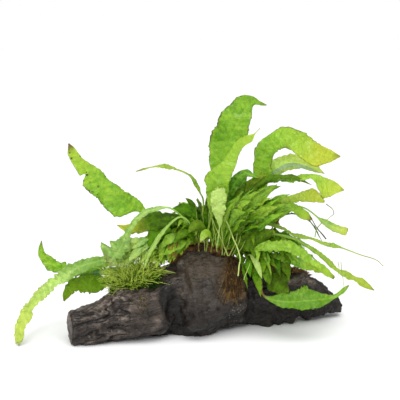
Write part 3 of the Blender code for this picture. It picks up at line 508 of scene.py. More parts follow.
LEAVES = (
    # Upright leaves of the crown
    Leaf("leaf_tall_upright", (8, 4), ((11, 12, 97), (16, 16, 124), (24, 17, 149), (32, 17, 167),
         (40, 16, 176), (51, 14, 175)), stem=0.25, ripple=1.5, waves=2.5,
         outline=((0, 0.8), (0.1, 3.5, 3), (0.2, 6, 5.5), (0.3, 9.3, 7), (0.4, 13.6, 8.5),
         (0.5, 14.8, 10.5), (0.6, 16, 12.5), (0.7, 15.3, 9.5), (0.8, 11.8, 7.3), (0.85, 10.6, 4.2),
         (0.88, 8, 2), (0.91, 4, 1), (0.94, 1.7, 1.3), (0.97, 1.4, 1), (1, 0.25)),
         wear=Wear(rim=0.7, brown=0.4, brown_from=0.93, tone=-0.1, dim=-0.4)),
    Leaf("leaf_front_of_tall", (4, 1), ((9, -2, 94), (12, -4, 109), (15, -5, 122), (22, -5, 135),
         (30, -5, 147), (38, -6, 153), (45, -6, 160)), stem=0.22,
         outline=((0, 0.8), (0.05, 2.2, 3), (0.1, 4.2, 6.5), (0.2, 7.3, 9.4), (0.3, 8.8, 9),
         (0.36, 11, 8.8), (0.42, 9, 8), (0.5, 4.8, 7.3), (0.6, 3.8, 5), (0.7, 4.2, 3.5), (0.8, 4, 3),
         (0.86, 3.4, 3.2), (0.89, 2.4, 2.6), (0.91, 0.4), (1, 0.2)),
         wear=Wear(yellow=0.3, yellow_from=0.6, tone=0.6, dim=0.55, torn=1.3)),
    Leaf("leaf_pale_upright", (13, 1.5), ((15, -8, 86), (13.8, -12, 96), (14.2, -13, 106),
         (14.7, -12.5, 115.5)), hue=Hue.PALE, stem=0.4, ripple=1.6, waves=5,
         outline=((0, 0.6), (0.15, 2, 2.2), (0.35, 3.6, 4.4), (0.55, 5.2, 5.4), (0.75, 6.4, 6.2),
         (0.92, 6.6, 6), (1, 4.6, 4.8)),
         wear=Wear(rim=0, brown=0, tone=1.1, ragged=3, frill=1.8, torn=1.8, dim=0.2)),
    Leaf("leaf_thin_arching", (-2, 2.5), ((2.6, 9, 98), (-0.4, 9, 108.6), (-7, 9, 120.2), (-20, 7, 127),
         (-33, 4, 129.3), (-49, 0, 126)), hue=Hue.OLIVE, face=(0.1, -0.35, 1), stem=0.3, ripple=1, waves=4,
         outline=((0, 0.6), (0.1, 1), (0.2, 1.6), (0.3, 2.6, 2.4), (0.36, 2.4, 2.2), (0.43, 1.2),
         (0.5, 1.1), (0.57, 2.6, 2.2), (0.63, 4, 3), (0.69, 2.8, 2.2), (0.75, 1.2), (0.82, 1.2), (0.9, 1.5),
         (0.96, 1), (1, 0.2)),
         wear=Wear(yellow=0.3, yellow_from=0.1, brown=0.6, brown_from=0.85)),
    Leaf("leaf_sprout_thin", (-5, 0.5), ((-4, 0, 94), (-7, -1, 102), (-11, -3, 106)), 4.5, hue=Hue.DEEP,
         stem=0.6, ripple=0.4),
    # Leaves to the left
    Leaf("leaf_big_left", (-10, 0), ((-24, 2, 84), (-42, 0, 94), (-57, -4, 102), (-75, -8, 119),
         (-90, -11, 136), (-98, -10, 149)), stem=0.33, ripple=1.5, waves=4,
         outline=((0, 0.7), (0.05, 1.2, 3.5), (0.1, 1.8, 6.2), (0.15, 4, 7.4), (0.185, 7.8, 8),
         (0.22, 13.2, 8), (0.3, 12.5, 8), (0.4, 11.6, 7.8), (0.45, 10.8, 6.8), (0.5, 10, 5.3), (0.6, 11, 8),
         (0.7, 8, 5.3), (0.8, 5.7, 3.2), (0.9, 4.9, 2.7), (0.95, 3, 2.2), (1, 0.2)),
         wear=Wear(yellow=0.35, yellow_from=0.45, brown=1, brown_from=0.9, specks=1, rim=0.6, tone=0.25,
         torn=1.3, bites=(Bite(1, 0.69, 0.022, 0.55),))),
    Leaf("leaf_left_dark", (-13, -4), ((-18, -8, 87), (-30, -11, 91), (-41, -13, 87.5), (-53, -13, 84.5),
         (-63, -12, 87)), 14, hue=Hue.DEEP, face=(0, -0.8, 0.5), stem=0.3, widest=0.35,
         wear=Wear(yellow=0.85, yellow_from=0.35, brown=0.6, brown_from=0.92, tone=-0.3, torn=2.2)),
    Leaf("leaf_left_hanging", (-7, -1.5), ((-10, -10, 88), (-22, -17, 101), (-35, -22, 101),
         (-45.3, -24, 96), (-54, -26, 84), (-60, -27, 72), (-68, -28, 62)), hue=Hue.PALE,
         face=(-0.2, -0.9, 0.5), stem=0.4,
         outline=((0, 0.6), (0.1, 1.6), (0.2, 2.2), (0.3, 2.4), (0.45, 2.3), (0.6, 2.6, 2.5), (0.66, 4, 3),
         (0.7, 6, 5.5), (0.74, 6.5, 8.5), (0.78, 6, 9.5), (0.85, 6.5, 14), (0.92, 6, 13), (0.97, 4.5, 8),
         (1, 1.5, 3)),
         wear=Wear(ragged=3.5, brown=0.35, brown_from=0.9, tone=-0.25, frill=3, torn=2.8,
         bites=(Bite(-1, 0.84, 0.03, 0.5), Bite(1, 0.9, 0.02, 0.5)))),
    Leaf("leaf_left_band", (-17, -5), ((-22, -12, 81), (-30, -16, 83), (-39, -18, 76), (-48, -19, 66)), 10,
         hue=Hue.DEEP, face=(-0.3, -0.9, 0.4), stem=0.35,
         wear=Wear(tone=0.25)),
    Leaf("leaf_front_stripe", (-1, 0), ((-8, -14, 89), (-15, -20, 95), (-24, -25, 89), (-32, -29, 79),
         (-38, -34, 69), (-41, -37, 60)), 4.6, hue=Hue.PALE, face=(-0.6, -0.6, 0.5), stem=0.3, widest=0.7,
         taper=0.6, ripple=0.5,
         wear=Wear(rim=0, tone=-0.35)),
    Leaf("leaf_low_left", (-21, -7), ((-27, -14, 68), (-38, -16, 65), (-48, -12, 63)), 10, hue=Hue.DEEP,
         face=(0, -0.9, 0.5), stem=0.3),
    Leaf("leaf_left_short", (1, 2), ((-2, -3, 88), (-9, -5, 97), (-21, -8, 99)), 9, hue=Hue.DEEP,
         face=(0, -0.9, 0.5), stem=0.5),
    # The group from under the moss
    Leaf("leaf_far_left_curled", (-36, -5.5), ((-41, -3, 60), (-54, -3, 59), (-70, -4, 55), (-85, -6, 52),
         (-96, -9, 50.5), (-106.8, -10, 52.5), (-113.4, -11, 56), (-118.7, -11, 61), (-121, -11, 66),
         (-120.6, -11, 74.5)), face=(0, -0.7, 0.7), stem=0.2,
         outline=((0, 0.6), (0.1, 1.5), (0.3, 4), (0.5, 5.5), (0.65, 6, 5.4), (0.75, 5, 4.7),
         (0.85, 3.5, 3.2), (0.93, 2, 1.6), (1, 0.2)),
         wear=Wear(brown=0.5, brown_from=0.92, tone=-0.3, frill=2, torn=1.6)),
    Leaf("leaf_far_left_drooping", (-45, -6.5), ((-58, -10, 61.5), (-73, -14, 60), (-84, -18, 58.5),
         (-94.6, -21, 54.7), (-105.4, -23, 48.5), (-114, -26, 42), (-125.6, -27.5, 31), (-133.2, -33, 17.2),
         (-136, -38, 3)), hue=Hue.PALE, face=(-0.4, -0.9, 0.4), stem=0.15, ripple=0.9, waves=5,
         outline=((0, 0.6), (0.08, 2), (0.2, 4.2, 4), (0.35, 6.2, 5.5), (0.5, 5.4), (0.6, 4.7),
         (0.7, 4.4, 4.5), (0.8, 4.6, 4.7), (0.9, 4.6, 4.7), (0.97, 4.2), (1, 3.8, 3.6)),
         wear=Wear(yellow=0.5, yellow_from=0.4, ragged=2.6, brown=0, rim=0.2, tone=0.3, torn=1.7, frill=2.2,
         dim=1.7)),
    Leaf("leaf_left_low_green", (-52, -7), ((-64, -9, 43.5), (-79, -14, 41.5), (-89.5, -17, 41.7),
         (-96.2, -19, 40.5), (-100.6, -20, 36.3), (-103.2, -20.5, 30.3)), hue=Hue.DEEP, face=(0, -0.8, 0.6),
         stem=0.15,
         outline=((0, 0.6), (0.1, 2), (0.2, 3.5), (0.35, 6.5, 6.8), (0.5, 7), (0.65, 8), (0.78, 5, 6),
         (0.85, 3, 3.5), (0.93, 3, 3.2), (1, 0.3)),
         wear=Wear(ragged=1.4, yellow=0.2, yellow_from=-0.6, tone=1.9, torn=2, frill=2.4, dim=0.3)),
    Leaf("leaf_left_grey", (-41, -6), ((-58, 3, 47), (-76, 4, 45.5), (-95, 2, 44)), 6, hue=Hue.GREY,
         face=(0, -0.9, 0.4), stem=0.25,
         wear=Wear(tone=-0.8, torn=1.6)),
    # Leaves to the right
    Leaf("leaf_big_right_arch", (23, 6), ((37, 17, 88), (46, 17, 113), (48, 15, 131), (56, 12, 146),
         (68, 8, 150), (86, 3, 140), (106, -3, 138)), face=(0.05, -1, 0.1), stem=0.27,
         outline=((0, 0.8), (0.1, 3.5, 4), (0.2, 5.5, 8), (0.3, 6.2, 9), (0.4, 9.3, 6.5), (0.5, 6.8, 7.3),
         (0.6, 9, 7.2), (0.7, 9.7, 7.8), (0.8, 9, 8.5), (0.84, 8, 10), (0.9, 6.2, 7), (0.95, 3.5, 3.8),
         (1, 0.2)),
         wear=Wear(yellow=0.9, yellow_from=0.5, brown=0.5, brown_from=0.93, rim=0.7, tone=0.4, dim=0.2)),
    Leaf("leaf_right_pale_under", (22, 19), ((39, 27, 99), (52, 28, 118), (66, 27, 127), (81, 26, 128),
         (98, 24, 120)), 14, hue=Hue.PALE, face=(0, -0.8, 0.6), stem=0.4, taper=0.8, ripple=0.8,
         wear=Wear(yellow=0.5, yellow_from=0.1, tone=0.5, dim=0.6)),
    Leaf("leaf_right_turned_end", (24, 3), ((38, 4, 100), (52, 3, 117), (69, 1, 119), (84, 0, 122),
         (96, -3, 118), (109, -7, 113)), face=(0, 0.1, 1), turn=75, stem=0.4, ripple=0.8,
         outline=((0, 0.6), (0.12, 3), (0.25, 4.6), (0.4, 4.4), (0.5, 3.6), (0.6, 2.4, 2.6),
         (0.66, 2.5, 2.6), (0.7, 3, 3.8), (0.75, 3.4, 7.5), (0.8, 3.6, 12.5), (0.85, 3.4, 13),
         (0.9, 3, 9.5), (0.95, 2, 4.5), (1, 0.2)),
         wear=Wear(yellow=0.75, yellow_from=0.6, brown=0.4, rim=0.6, tone=0.4, torn=1.5, dim=1.3)),
    Leaf("leaf_right_olive", (40, 6.5), ((44, 12, 90), (54, 14, 98), (67, 14, 101), (82, 13, 105),
         (97, 11, 100)), hue=Hue.OLIVE, face=(0, -0.7, 0.7), stem=0.4,
         outline=((0, 0.6), (0.15, 3, 4), (0.35, 3, 5), (0.5, 2.4, 4.8), (0.6, 2.6, 6.7), (0.7, 4.2, 7),
         (0.8, 5.8, 5.5), (0.9, 6, 4), (0.96, 4, 3), (1, 0.5)),
         wear=Wear(yellow=0.7, yellow_from=0.35, brown=0.1, tone=0.5, torn=1.5)),
    Leaf("leaf_right_mid", (43, 5), ((45, 5, 84), (54, 5, 93.5), (68, 4, 97), (77, 3, 93.5), (86.5, 2, 88)),
         face=(0, -0.7, 0.7), stem=0.4,
         outline=((0, 0.6), (0.2, 2), (0.4, 2.3), (0.55, 3, 2.6), (0.7, 5, 4.2), (0.8, 5.2, 4.8),
         (0.9, 3.4, 4), (0.96, 2, 2.5), (1, 0.3)),
         wear=Wear(yellow=0.35, brown=0.7, brown_from=0.9)),
    Leaf("leaf_right_end_blade", (46, 7.5), ((50, 10, 82), (62, 11, 95), (80, 9, 96), (94, 4, 87),
         (104, -1, 82), (113, -4, 79.5)), hue=Hue.PALE, face=(0, -0.9, 0.5), stem=0.78, ripple=0.5,
         outline=((0, 0.6), (0.1, 2.2), (0.4, 3), (0.8, 3.2, 3.4), (0.97, 3.2, 3.4), (1, 2.8, 3)),
         wear=Wear(yellow=0.6, yellow_from=0.2, ragged=1.2, brown=0, tone=-0.3, rim=0.7)),
    Leaf("leaf_right_dark_thin", (50, 9), ((58, 13, 82), (72, 14, 90), (86, 11, 84), (95, 6, 70)), 5,
         hue=Hue.DEEP, face=(0, 0.1, 1), stem=0.3, ripple=0.5),
    Leaf("leaf_right_long_thread", (38, 3), ((46, 0, 83), (63.5, 0, 81.5), (70, -0.5, 77.3),
         (78, -1.5, 75.2), (86, -3, 74), (93, -4.5, 71.4), (102, -7, 69.2), (109, -9, 68.1),
         (121.6, -12, 63.9), (133.6, -14, 60.4), (139.7, -14.5, 55.4)), hue=Hue.OLIVE, face=(0, -0.6, 0.8),
         stem=0.2, ripple=0.8, waves=4,
         outline=((0, 0.8), (0.1, 1.6), (0.21, 1.9), (0.28, 1), (0.33, 1.8, 1.6), (0.38, 2.6, 2.4),
         (0.44, 1.2, 1.6), (0.5, 1.3, 1.6), (0.56, 1.7, 2), (0.61, 2.9, 1.8), (0.65, 1.6, 1.2), (0.68, 0.6),
         (0.8, 0.4), (1, 0.25)),
         wear=Wear(yellow=0.3, brown=0.5, brown_from=0.7)),
    Leaf("leaf_right_long_twisted", (41, 3.5), ((51, -5, 76), (69, -7, 76), (80, -10, 71), (93, -13, 62.6),
         (105, -15, 52), (118, -16, 46), (133, -17, 37)), hue=Hue.OLIVE, face=(0.3, -0.7, 0.7), turn=20,
         stem=0.25, ripple=1.2, waves=4,
         outline=((0, 0.8), (0.2, 1.5), (0.3, 1.6), (0.4, 2, 1.8), (0.5, 2.5, 2.2), (0.58, 2.2, 2),
         (0.65, 1.2), (0.72, 3.2, 2.8), (0.78, 2.4, 2.6), (0.81, 1.4), (0.87, 3.2, 3), (0.94, 2.4, 2.2),
         (1, 0.2)),
         wear=Wear(yellow=0.4, frill=2, tone=0.1, dim=0.8)),
    Leaf("leaf_right_bright_low", (36.5, 1.5), ((44, -15.5, 69.5), (55.7, -18, 72), (68, -19, 71.3),
         (76.4, -19.5, 66.7), (81.3, -20, 62.2), (87.9, -21, 58.7), (96.2, -22, 52.4), (101.2, -22, 48.6)),
         face=(0.2, -0.8, 0.6), stem=0.2,
         outline=((0, 0.7), (0.1, 2.6), (0.2, 4, 4.2), (0.35, 4.6), (0.5, 4.8, 4.6), (0.6, 4),
         (0.68, 3.2, 3.3), (0.76, 2.8, 3.2), (0.85, 3), (0.95, 2.6), (1, 1.5)),
         wear=Wear(ragged=1.6, yellow=0.2, frill=2.2, tone=0.25, torn=1.6)),
    Leaf("leaf_right_under_low", (49.5, 7), ((53, -6, 61), (62, -9, 61), (73.8, -11, 57.6),
         (84.8, -12, 53.7), (95.8, -13, 50)), 10, face=(0.2, -0.7, 0.8), stem=0.3, taper=0.7,
         wear=Wear(yellow=0.5, yellow_from=0.5, frill=2.2, tone=0.15, torn=1.6)),
    Leaf("leaf_low_front_right", (44, 3), ((46, -15, 47), (48, -23, 35), (60, -26, 31), (75, -26, 31),
         (90, -25, 32), (102, -23, 34), (113, -20, 42)), face=(0, -0.85, 0.55), stem=0.32, ripple=1.4,
         waves=4,
         outline=((0, 0.7), (0.05, 1.3, 1), (0.1, 3.2, 1.8), (0.2, 6.3, 3.8), (0.3, 7.3, 5.4),
         (0.36, 9, 6.4), (0.43, 10.5, 7.4), (0.5, 10.2, 7.8), (0.6, 7.4, 6.7), (0.7, 3.7, 3.9),
         (0.78, 1.7, 1.6), (0.85, 1.4, 1.6), (0.93, 1.6, 2.2), (1, 0.3)),
         wear=Wear(yellow=0.2, yellow_from=0.5, rim=0.1, tone=-0.4, frill=2, bare=0.9)),
    Leaf("leaf_low_shaded", (51, 7), ((56, -7, 48), (61, -15, 40), (68, -18, 35.5)), 17, hue=Hue.DEEP,
         face=(0, -0.9, 0.4), stem=0.35,
         wear=Wear(frill=2, tone=-0.15, torn=2)),
    # Middle of the bush
    Leaf("leaf_middle_dark", (20, 1.5), ((29, -6, 70), (41, -9, 76), (56, -10, 82)), 17, hue=Hue.DEEP,
         face=(0.1, -1, 0.3), stem=0.22,
         wear=Wear(tone=-0.1, frill=1.5)),
    Leaf("leaf_middle_rising", (16, 1.5), ((22, -9, 84), (34, -11, 99), (46, -12, 110), (58, -11, 118)), 11,
         face=(0, -1, 0.2), stem=0.33,
         wear=Wear(tone=-0.25, frill=1.6)),
    Leaf("leaf_middle_behind", (17.5, 6), ((26, 9, 92), (37, 10, 108), (50, 8, 123)), 15, hue=Hue.DEEP,
         face=(0, -1, 0.2), stem=0.35,
         wear=Wear(tone=1.25, frill=1.5, yellow=0.5, yellow_from=-1)),
    Leaf("leaf_middle_arched", (11, 5), ((18, 5, 90), (25, 6, 112), (34, 6, 123), (45, 4, 120)), 9,
         face=(0, -0.7, 0.7), stem=0.5,
         wear=Wear(tone=-0.35)),
    Leaf("leaf_middle_broad", (27, 3.5), ((34, -2, 84), (46, -4, 95), (62, -5, 103)), 17, hue=Hue.DEEP,
         face=(0, -1, 0.35), stem=0.3,
         wear=Wear(tone=0.2, frill=1.6)),
    Leaf("leaf_middle_right", (54, 9), ((56, 2, 64), (64, -4, 73), (77, -6, 66)), 13, hue=Hue.DEEP,
         face=(0, -0.9, 0.5), stem=0.3,
         wear=Wear(frill=1.8, tone=0.1)),
    Leaf("leaf_hanging_small", (36, 4.5), ((37, -6, 62), (42, -16, 60), (47, -20, 47)), 5, hue=Hue.PALE,
         stem=0.45, ripple=0.4),
    Leaf("leaf_hanging_dark", (47, 5.5), ((47.5, -4, 59), (50, -16, 55), (53, -20, 42)), 7, hue=Hue.DEEP,
         stem=0.5, ripple=0.5),
    Leaf("leaf_short_front_a", (-15, -4), ((-15, -13, 76), (-22, -18, 78), (-30, -21, 71)), 8,
         face=(-0.2, -0.9, 0.6), stem=0.35, ripple=0.6),
    Leaf("leaf_short_front_b", (-4, -1.5), ((-6, -13, 79), (-13, -18, 82), (-20, -22, 75)), 7, hue=Hue.DEEP,
         face=(-0.2, -0.8, 0.7), stem=0.4, ripple=0.5),
    Leaf("leaf_short_front_c", (6.5, 1), ((3, -11, 82), (-3, -16, 88), (-9, -20, 83)), 8, hue=Hue.DEEP,
         face=(0, -0.9, 0.5), stem=0.45, ripple=0.5),
    Leaf("leaf_short_front_d", (10, 1.5), ((8, -12, 78), (4, -18, 82), (0, -22, 76)), 7,
         face=(0, -0.8, 0.6), stem=0.45, ripple=0.4),
    Leaf("leaf_crown_low_left", (-6, 15), ((-9, 17, 74), (-17, 16, 84), (-29, 12, 88)), 10, hue=Hue.DEEP,
         face=(0, -1, 0.3), stem=0.25),
    Leaf("leaf_crown_low_middle", (5, 17.5), ((2, 20, 76), (-4, 21, 88), (-11, 21, 96)), 9, hue=Hue.DEEP,
         face=(0, -1, 0.3), stem=0.25),
    # Leaves on the back
    Leaf("leaf_back_left", (-9, 14), ((-15, 26, 78), (-26, 38, 84), (-40, 49, 77), (-52, 55, 63)), 17,
         face=(-0.4, 0.6, 0.7), turn=25, stem=0.3, ripple=1.6, waves=4),
    Leaf("leaf_back_middle", (0, 16.5), ((-1, 34, 83), (-6, 54, 87), (-9, 74, 78), (-7, 90, 60)), 21,
         hue=Hue.DEEP, face=(0.1, 0.7, 0.7), turn=-20, stem=0.26, widest=0.4, taper=1, ripple=1.6),
    Leaf("leaf_back_second", (10, 18.5), ((14, 33, 76), (18, 48, 71), (20, 60, 56), (19, 66, 40)), 15,
         face=(0.1, 0.8, 0.5), turn=20, stem=0.3, ripple=1.4),
    Leaf("leaf_back_right", (17, 18.5), ((28, 34, 80), (38, 50, 84), (52, 66, 78), (68, 76, 66)), 18,
         hue=Hue.DEEP, face=(0.3, 0.6, 0.7), turn=-25, stem=0.3, ripple=1.6, waves=4),
    Leaf("leaf_back_low_right", (58, 13), ((63, 26, 58), (73, 38, 58), (86, 47, 50), (99, 52, 40)), 14,
         face=(0.3, 0.5, 0.8), turn=20, stem=0.28),
    Leaf("leaf_back_low_left", (-33, -7), ((-38, 6, 64), (-46, 22, 66), (-55, 36, 56), (-60, 45, 43)), 13,
         hue=Hue.DEEP, face=(-0.3, 0.6, 0.8), stem=0.28, ripple=1.4),
)
# Leaves with no solid of their own
EXTRA_LEAVES = (
    Leaf("leaf_folded_grey", (22, 17), ((38, 20, 96), (52, 22, 116), (60, 20, 122.7), (70, 20, 127.5),
         (82, 19, 126), (94, 18, 121.5)), 3.6, hue=Hue.GREY, face=(0, -0.9, 0.2), stem=0.58,
         wear=Wear(tone=0.9, rim=0)),
    Leaf("leaf_dark_slender", (25, 4), ((38, 1, 106), (50, 0, 119.5), (69, -1, 122), (85, -2, 116)), 5.5,
         hue=Hue.DEEP, face=(0, -0.7, 0.7), stem=0.4,
         wear=Wear(tone=-0.1, torn=2.2, brown=0.2)),
    Leaf("leaf_jagged_back", (-2, 6), ((-3, 8, 84), (-7, 8, 92.5), (-14, 7, 94), (-21, 6, 92.5)), 7.5,
         hue=Hue.DEEP, face=(0, -0.8, 0.6), stem=0.35, taper=1.3, waves=6,
         wear=Wear(frill=2.2, ragged=2, rim=0.2, torn=2.4)),
    Leaf("leaf_over_wood", (-9, -5), ((-11, -14, 76), (-17, -19, 73), (-28, -22, 66)), 9,
         face=(0, -0.6, 0.8), stem=0.3),
)


@dataclass(frozen=True)
class Spray:
    """Small leaves of one hue that root along a line in plan, each reaching to a tip of its own.

    tips are rows of x, y, z and blade width. rise is how far a leaf arches over the straight way to its
    tip, stem the bare share of its length and face the way the blades look, before each varies. tone
    makes them all lighter, or darker when it is below zero, partly for their own colour and partly as
    painted light and shade.
    """

    name: str
    hue: Hue
    roots: tuple[Vec2, Vec2]
    tips: tuple[tuple[float, float, float, float], ...]
    rise: float = 8.0
    stem: float = 0.4
    face: Vec3 = (0.0, -0.85, 0.5)
    seed: int = 1
    tone: float = 0.0


SPRAYS = (
    Spray("crown_leaves_middle", Hue.BRIGHT, ((8, 3), (26, 4.5)), ((48, 10, 124, 9), (37, 14, 121, 8),
          (71, -4, 100, 9), (51, -8, 107, 8), (45, -12, 97, 9), (62, 4, 114, 8), (31, 9, 119, 7),
          (39, -13, 90, 9)), seed=3, tone=-0.6),
    Spray("crown_leaves_bright", Hue.BRIGHT, ((8, 2), (27, 4)), ((55, 2, 121, 11), (69, -2, 109, 11),
          (44, -17, 114, 10), (38, -18, 107, 10), (59, -15, 102, 10), (77, 6, 96, 8), (34, -18, 98, 9),
          (26, -16, 103, 6), (50, -15, 117, 9), (30, -17, 110, 7), (54, -16, 109, 10), (41, -19, 100, 9)),
          rise=6, seed=4),
    Spray("right_leaves_deep", Hue.DEEP, ((37, 3), (56, 11)), ((65, -15, 59, 7), (58, -14, 68, 8),
          (51, -19, 60, 6), (61, -18, 49, 9), (47, -17, 55, 5), (68, -19, 44, 9), (41, -15, 71, 8),
          (36, -13, 79, 8), (47, -12, 75, 9), (64, -9, 67, 9), (42, -16, 62, 6)), rise=12, stem=0.35,
          seed=5),
    Spray("right_leaves_bright", Hue.BRIGHT, ((38, 3), (58, 12)), ((76, -13, 57, 8), (70, -13, 64, 7),
          (54, -21, 50, 5), (44, -19, 60, 5), (57, -6, 75, 8), (81, -6, 59, 7)), rise=13, stem=0.35,
          seed=6),
    Spray("left_leaves_deep", Hue.DEEP, ((-22, -6), (-2, 1)), ((-19, 6, 96, 7), (-12, 2, 92, 6),
          (-24, -10, 89, 7), (-21, -14, 79, 6), (-30, -8, 84, 8), (-15, -16, 76, 5), (-10, -6, 86, 6),
          (-39, 3, 94, 8), (-44, -8, 81, 7), (-3, 8, 93, 6)), rise=9, stem=0.3, seed=7),
    Spray("left_leaves_bright", Hue.BRIGHT, ((-22, -6.5), (4, 2)), ((-17, -17, 86, 5), (-24, -20, 61, 6),
          (-11, -17, 69, 6), (-21, -20, 63, 7), (-8, -17, 83, 5), (-30, -21, 60, 6), (-17, -19, 68, 5),
          (-36, -2, 90, 6), (-13, 10, 97, 5), (-3, -18, 80, 5)), rise=9, stem=0.35, seed=8),
    Spray("crown_behind_deep", Hue.DEEP, ((-6, 14), (22, 19.5)), ((-6, 14, 88, 6), (0, 14, 93, 6),
          (6, 12, 92, 9), (12, 14, 100, 12), (18, 13, 94, 11), (24, 12, 102, 12), (30, 12, 96, 11),
          (36, 10, 104, 11), (43, 8, 100, 11), (48, 8, 108, 10)), rise=4, stem=0.12, seed=9),
    Spray("crown_low_deep", Hue.DEEP, ((9, 3), (27, 4.5)), ((31, -4, 84, 9), (36, -2, 90, 9),
          (42, -6, 84, 9), (40, -4, 96, 9), (46, -3, 100, 8), (28, -3, 92, 8), (22, -2, 96, 8),
          (16, -4, 92, 7), (10, -2, 96, 7), (34, -9, 76, 8)), rise=5, stem=0.2, seed=10),
    Spray("saddle_leaves_deep", Hue.DEEP, ((26, 4), (40, 3.5)), ((34, -10, 66, 8), (38, -14, 58, 7),
          (41, -10, 74, 8), (45, -14, 66, 8), (50, -10, 72, 8), (49, -16, 56, 7), (55, -14, 62, 8),
          (59, -17, 54, 8), (36, -4, 80, 8), (44, -4, 80, 8), (53, -2, 78, 8), (31, -9, 58, 6),
          (34, -14, 52, 6), (30, -6, 66, 6)), rise=6, stem=0.2, seed=11),
    Spray("moss_side_leaves", Hue.BRIGHT, ((-30, -9), (-14, -5)), ((-20, -20, 61, 4), (-27, -22, 58, 5),
          (-33, -23, 56, 5), (-37, -20, 64, 4), (-14, -18, 65, 4), (-30, -18, 61, 5), (-24, -19, 63, 5),
          (-40, -18, 58, 5), (-18, -16, 66, 4), (-42, -20, 66, 4), (-23, -21, 59, 4), (-30, -22, 61, 5),
          (-36, -23, 60, 5), (-12, -17, 68, 4)), rise=4, stem=0.12, seed=13, tone=0.2),
    Spray("middle_right_leaves", Hue.BRIGHT, ((14, 2), (27, 4)), ((52, -18, 113, 6), (60, -16, 109, 7),
          (66, -14, 104, 8), (47, -19, 106, 8), (53, -18, 102, 9), (64, -16, 98, 8), (72, -10, 101, 6),
          (38, -19, 102, 8), (49, -19, 94, 9), (34, -19, 92, 7), (41, -18, 117, 5), (32, -18, 114, 4),
          (27, -18, 106, 4), (45, -18, 87, 8)), rise=6, stem=0.25, seed=14, tone=-0.35),
    Spray("left_narrow_leaves", Hue.DEEP, ((-20, -6), (2, 1)), ((-8, -16, 88, 4), (-14, -18, 85, 4),
          (-20, -19, 82, 4), (-25, -19, 78, 4), (-17, -19, 78, 4), (-11, -18, 80, 4), (-5, -17, 84, 4),
          (-24, -16, 90, 4), (-30, -18, 85, 5), (-35, -19, 78, 5), (-2, -16, 90, 3), (2, -16, 86, 3),
          (-20, -19, 71, 4), (-14, -19, 73, 4), (-8, -18, 75, 4)), rise=6, stem=0.2, seed=15, tone=0.45),
    Spray("back_leaves_deep", Hue.DEEP, ((-12, 13), (22, 19.5)), ((-34, 36, 82, 8), (-22, 48, 86, 9),
          (-14, 40, 66, 7), (-2, 44, 96, 9), (8, 36, 104, 8), (26, 46, 92, 9), (30, 52, 72, 8),
          (42, 40, 98, 8), (4, 52, 60, 7), (-28, 28, 70, 7), (18, 30, 110, 8), (36, 30, 66, 7)), rise=8,
          stem=0.3, face=(0, 0.75, 0.6), seed=16),
    Spray("back_leaves_bright", Hue.BRIGHT, ((-12, 13), (22, 19.5)), ((-18, 30, 94, 7), (-8, 58, 74, 8),
          (14, 58, 78, 8), (-30, 42, 66, 7), (24, 36, 84, 7), (48, 50, 84, 7), (0, 30, 80, 6),
          (34, 62, 60, 7)), rise=8, stem=0.3, face=(0, 0.75, 0.6), seed=17, tone=-0.2),
    Spray("back_right_leaves", Hue.BRIGHT, ((38, 4), (64, 16)), ((52, 28, 66, 6), (60, 36, 56, 7),
          (74, 24, 70, 6), (84, 34, 60, 7), (70, 40, 46, 6), (92, 28, 54, 6), (46, 26, 52, 6)), rise=9,
          stem=0.3, face=(0.1, 0.7, 0.7), seed=18, tone=-0.3),
    Spray("saddle_hanging_leaves", Hue.DEEP, ((30, 1), (46, 4)), ((42, -21, 43, 5), (46, -24, 34, 6),
          (50, -22, 45, 6), (38, -22, 49, 5), (36, -22, 40, 4), (44, -22, 38, 5), (54, -20, 50, 6),
          (48, -21, 52, 6)), rise=9, stem=0.45, seed=27, tone=0.2),
    Spray("hanging_lobes", Hue.PALE, ((-30, -7), (-22, -6)), ((-72, -27, 62, 6), (-68, -26, 58, 7),
          (-64, -27, 62, 6), (-60, -25, 59, 7), (-54, -26, 62, 6), (-48, -25, 66, 7), (-51, -26, 72, 6),
          (-57, -27, 75, 5), (-66, -26, 71, 6), (-62, -28, 66, 7), (-45, -24, 60, 5)), rise=9, stem=0.66,
          seed=19, tone=-0.15),
    Spray("left_inner_deep", Hue.DEEP, ((-22, -6), (4, 2)), ((-6, -4, 92, 6), (-12, -8, 84, 6),
          (-18, 0, 90, 7), (-3, -10, 88, 5), (-9, -12, 78, 5), (-16, -10, 72, 6), (-22, -4, 80, 7),
          (-27, -6, 86, 7), (-33, -12, 80, 7), (-38, -14, 73, 7), (1, -6, 92, 6), (5, -4, 98, 6)), rise=5,
          stem=0.2, seed=12),
)


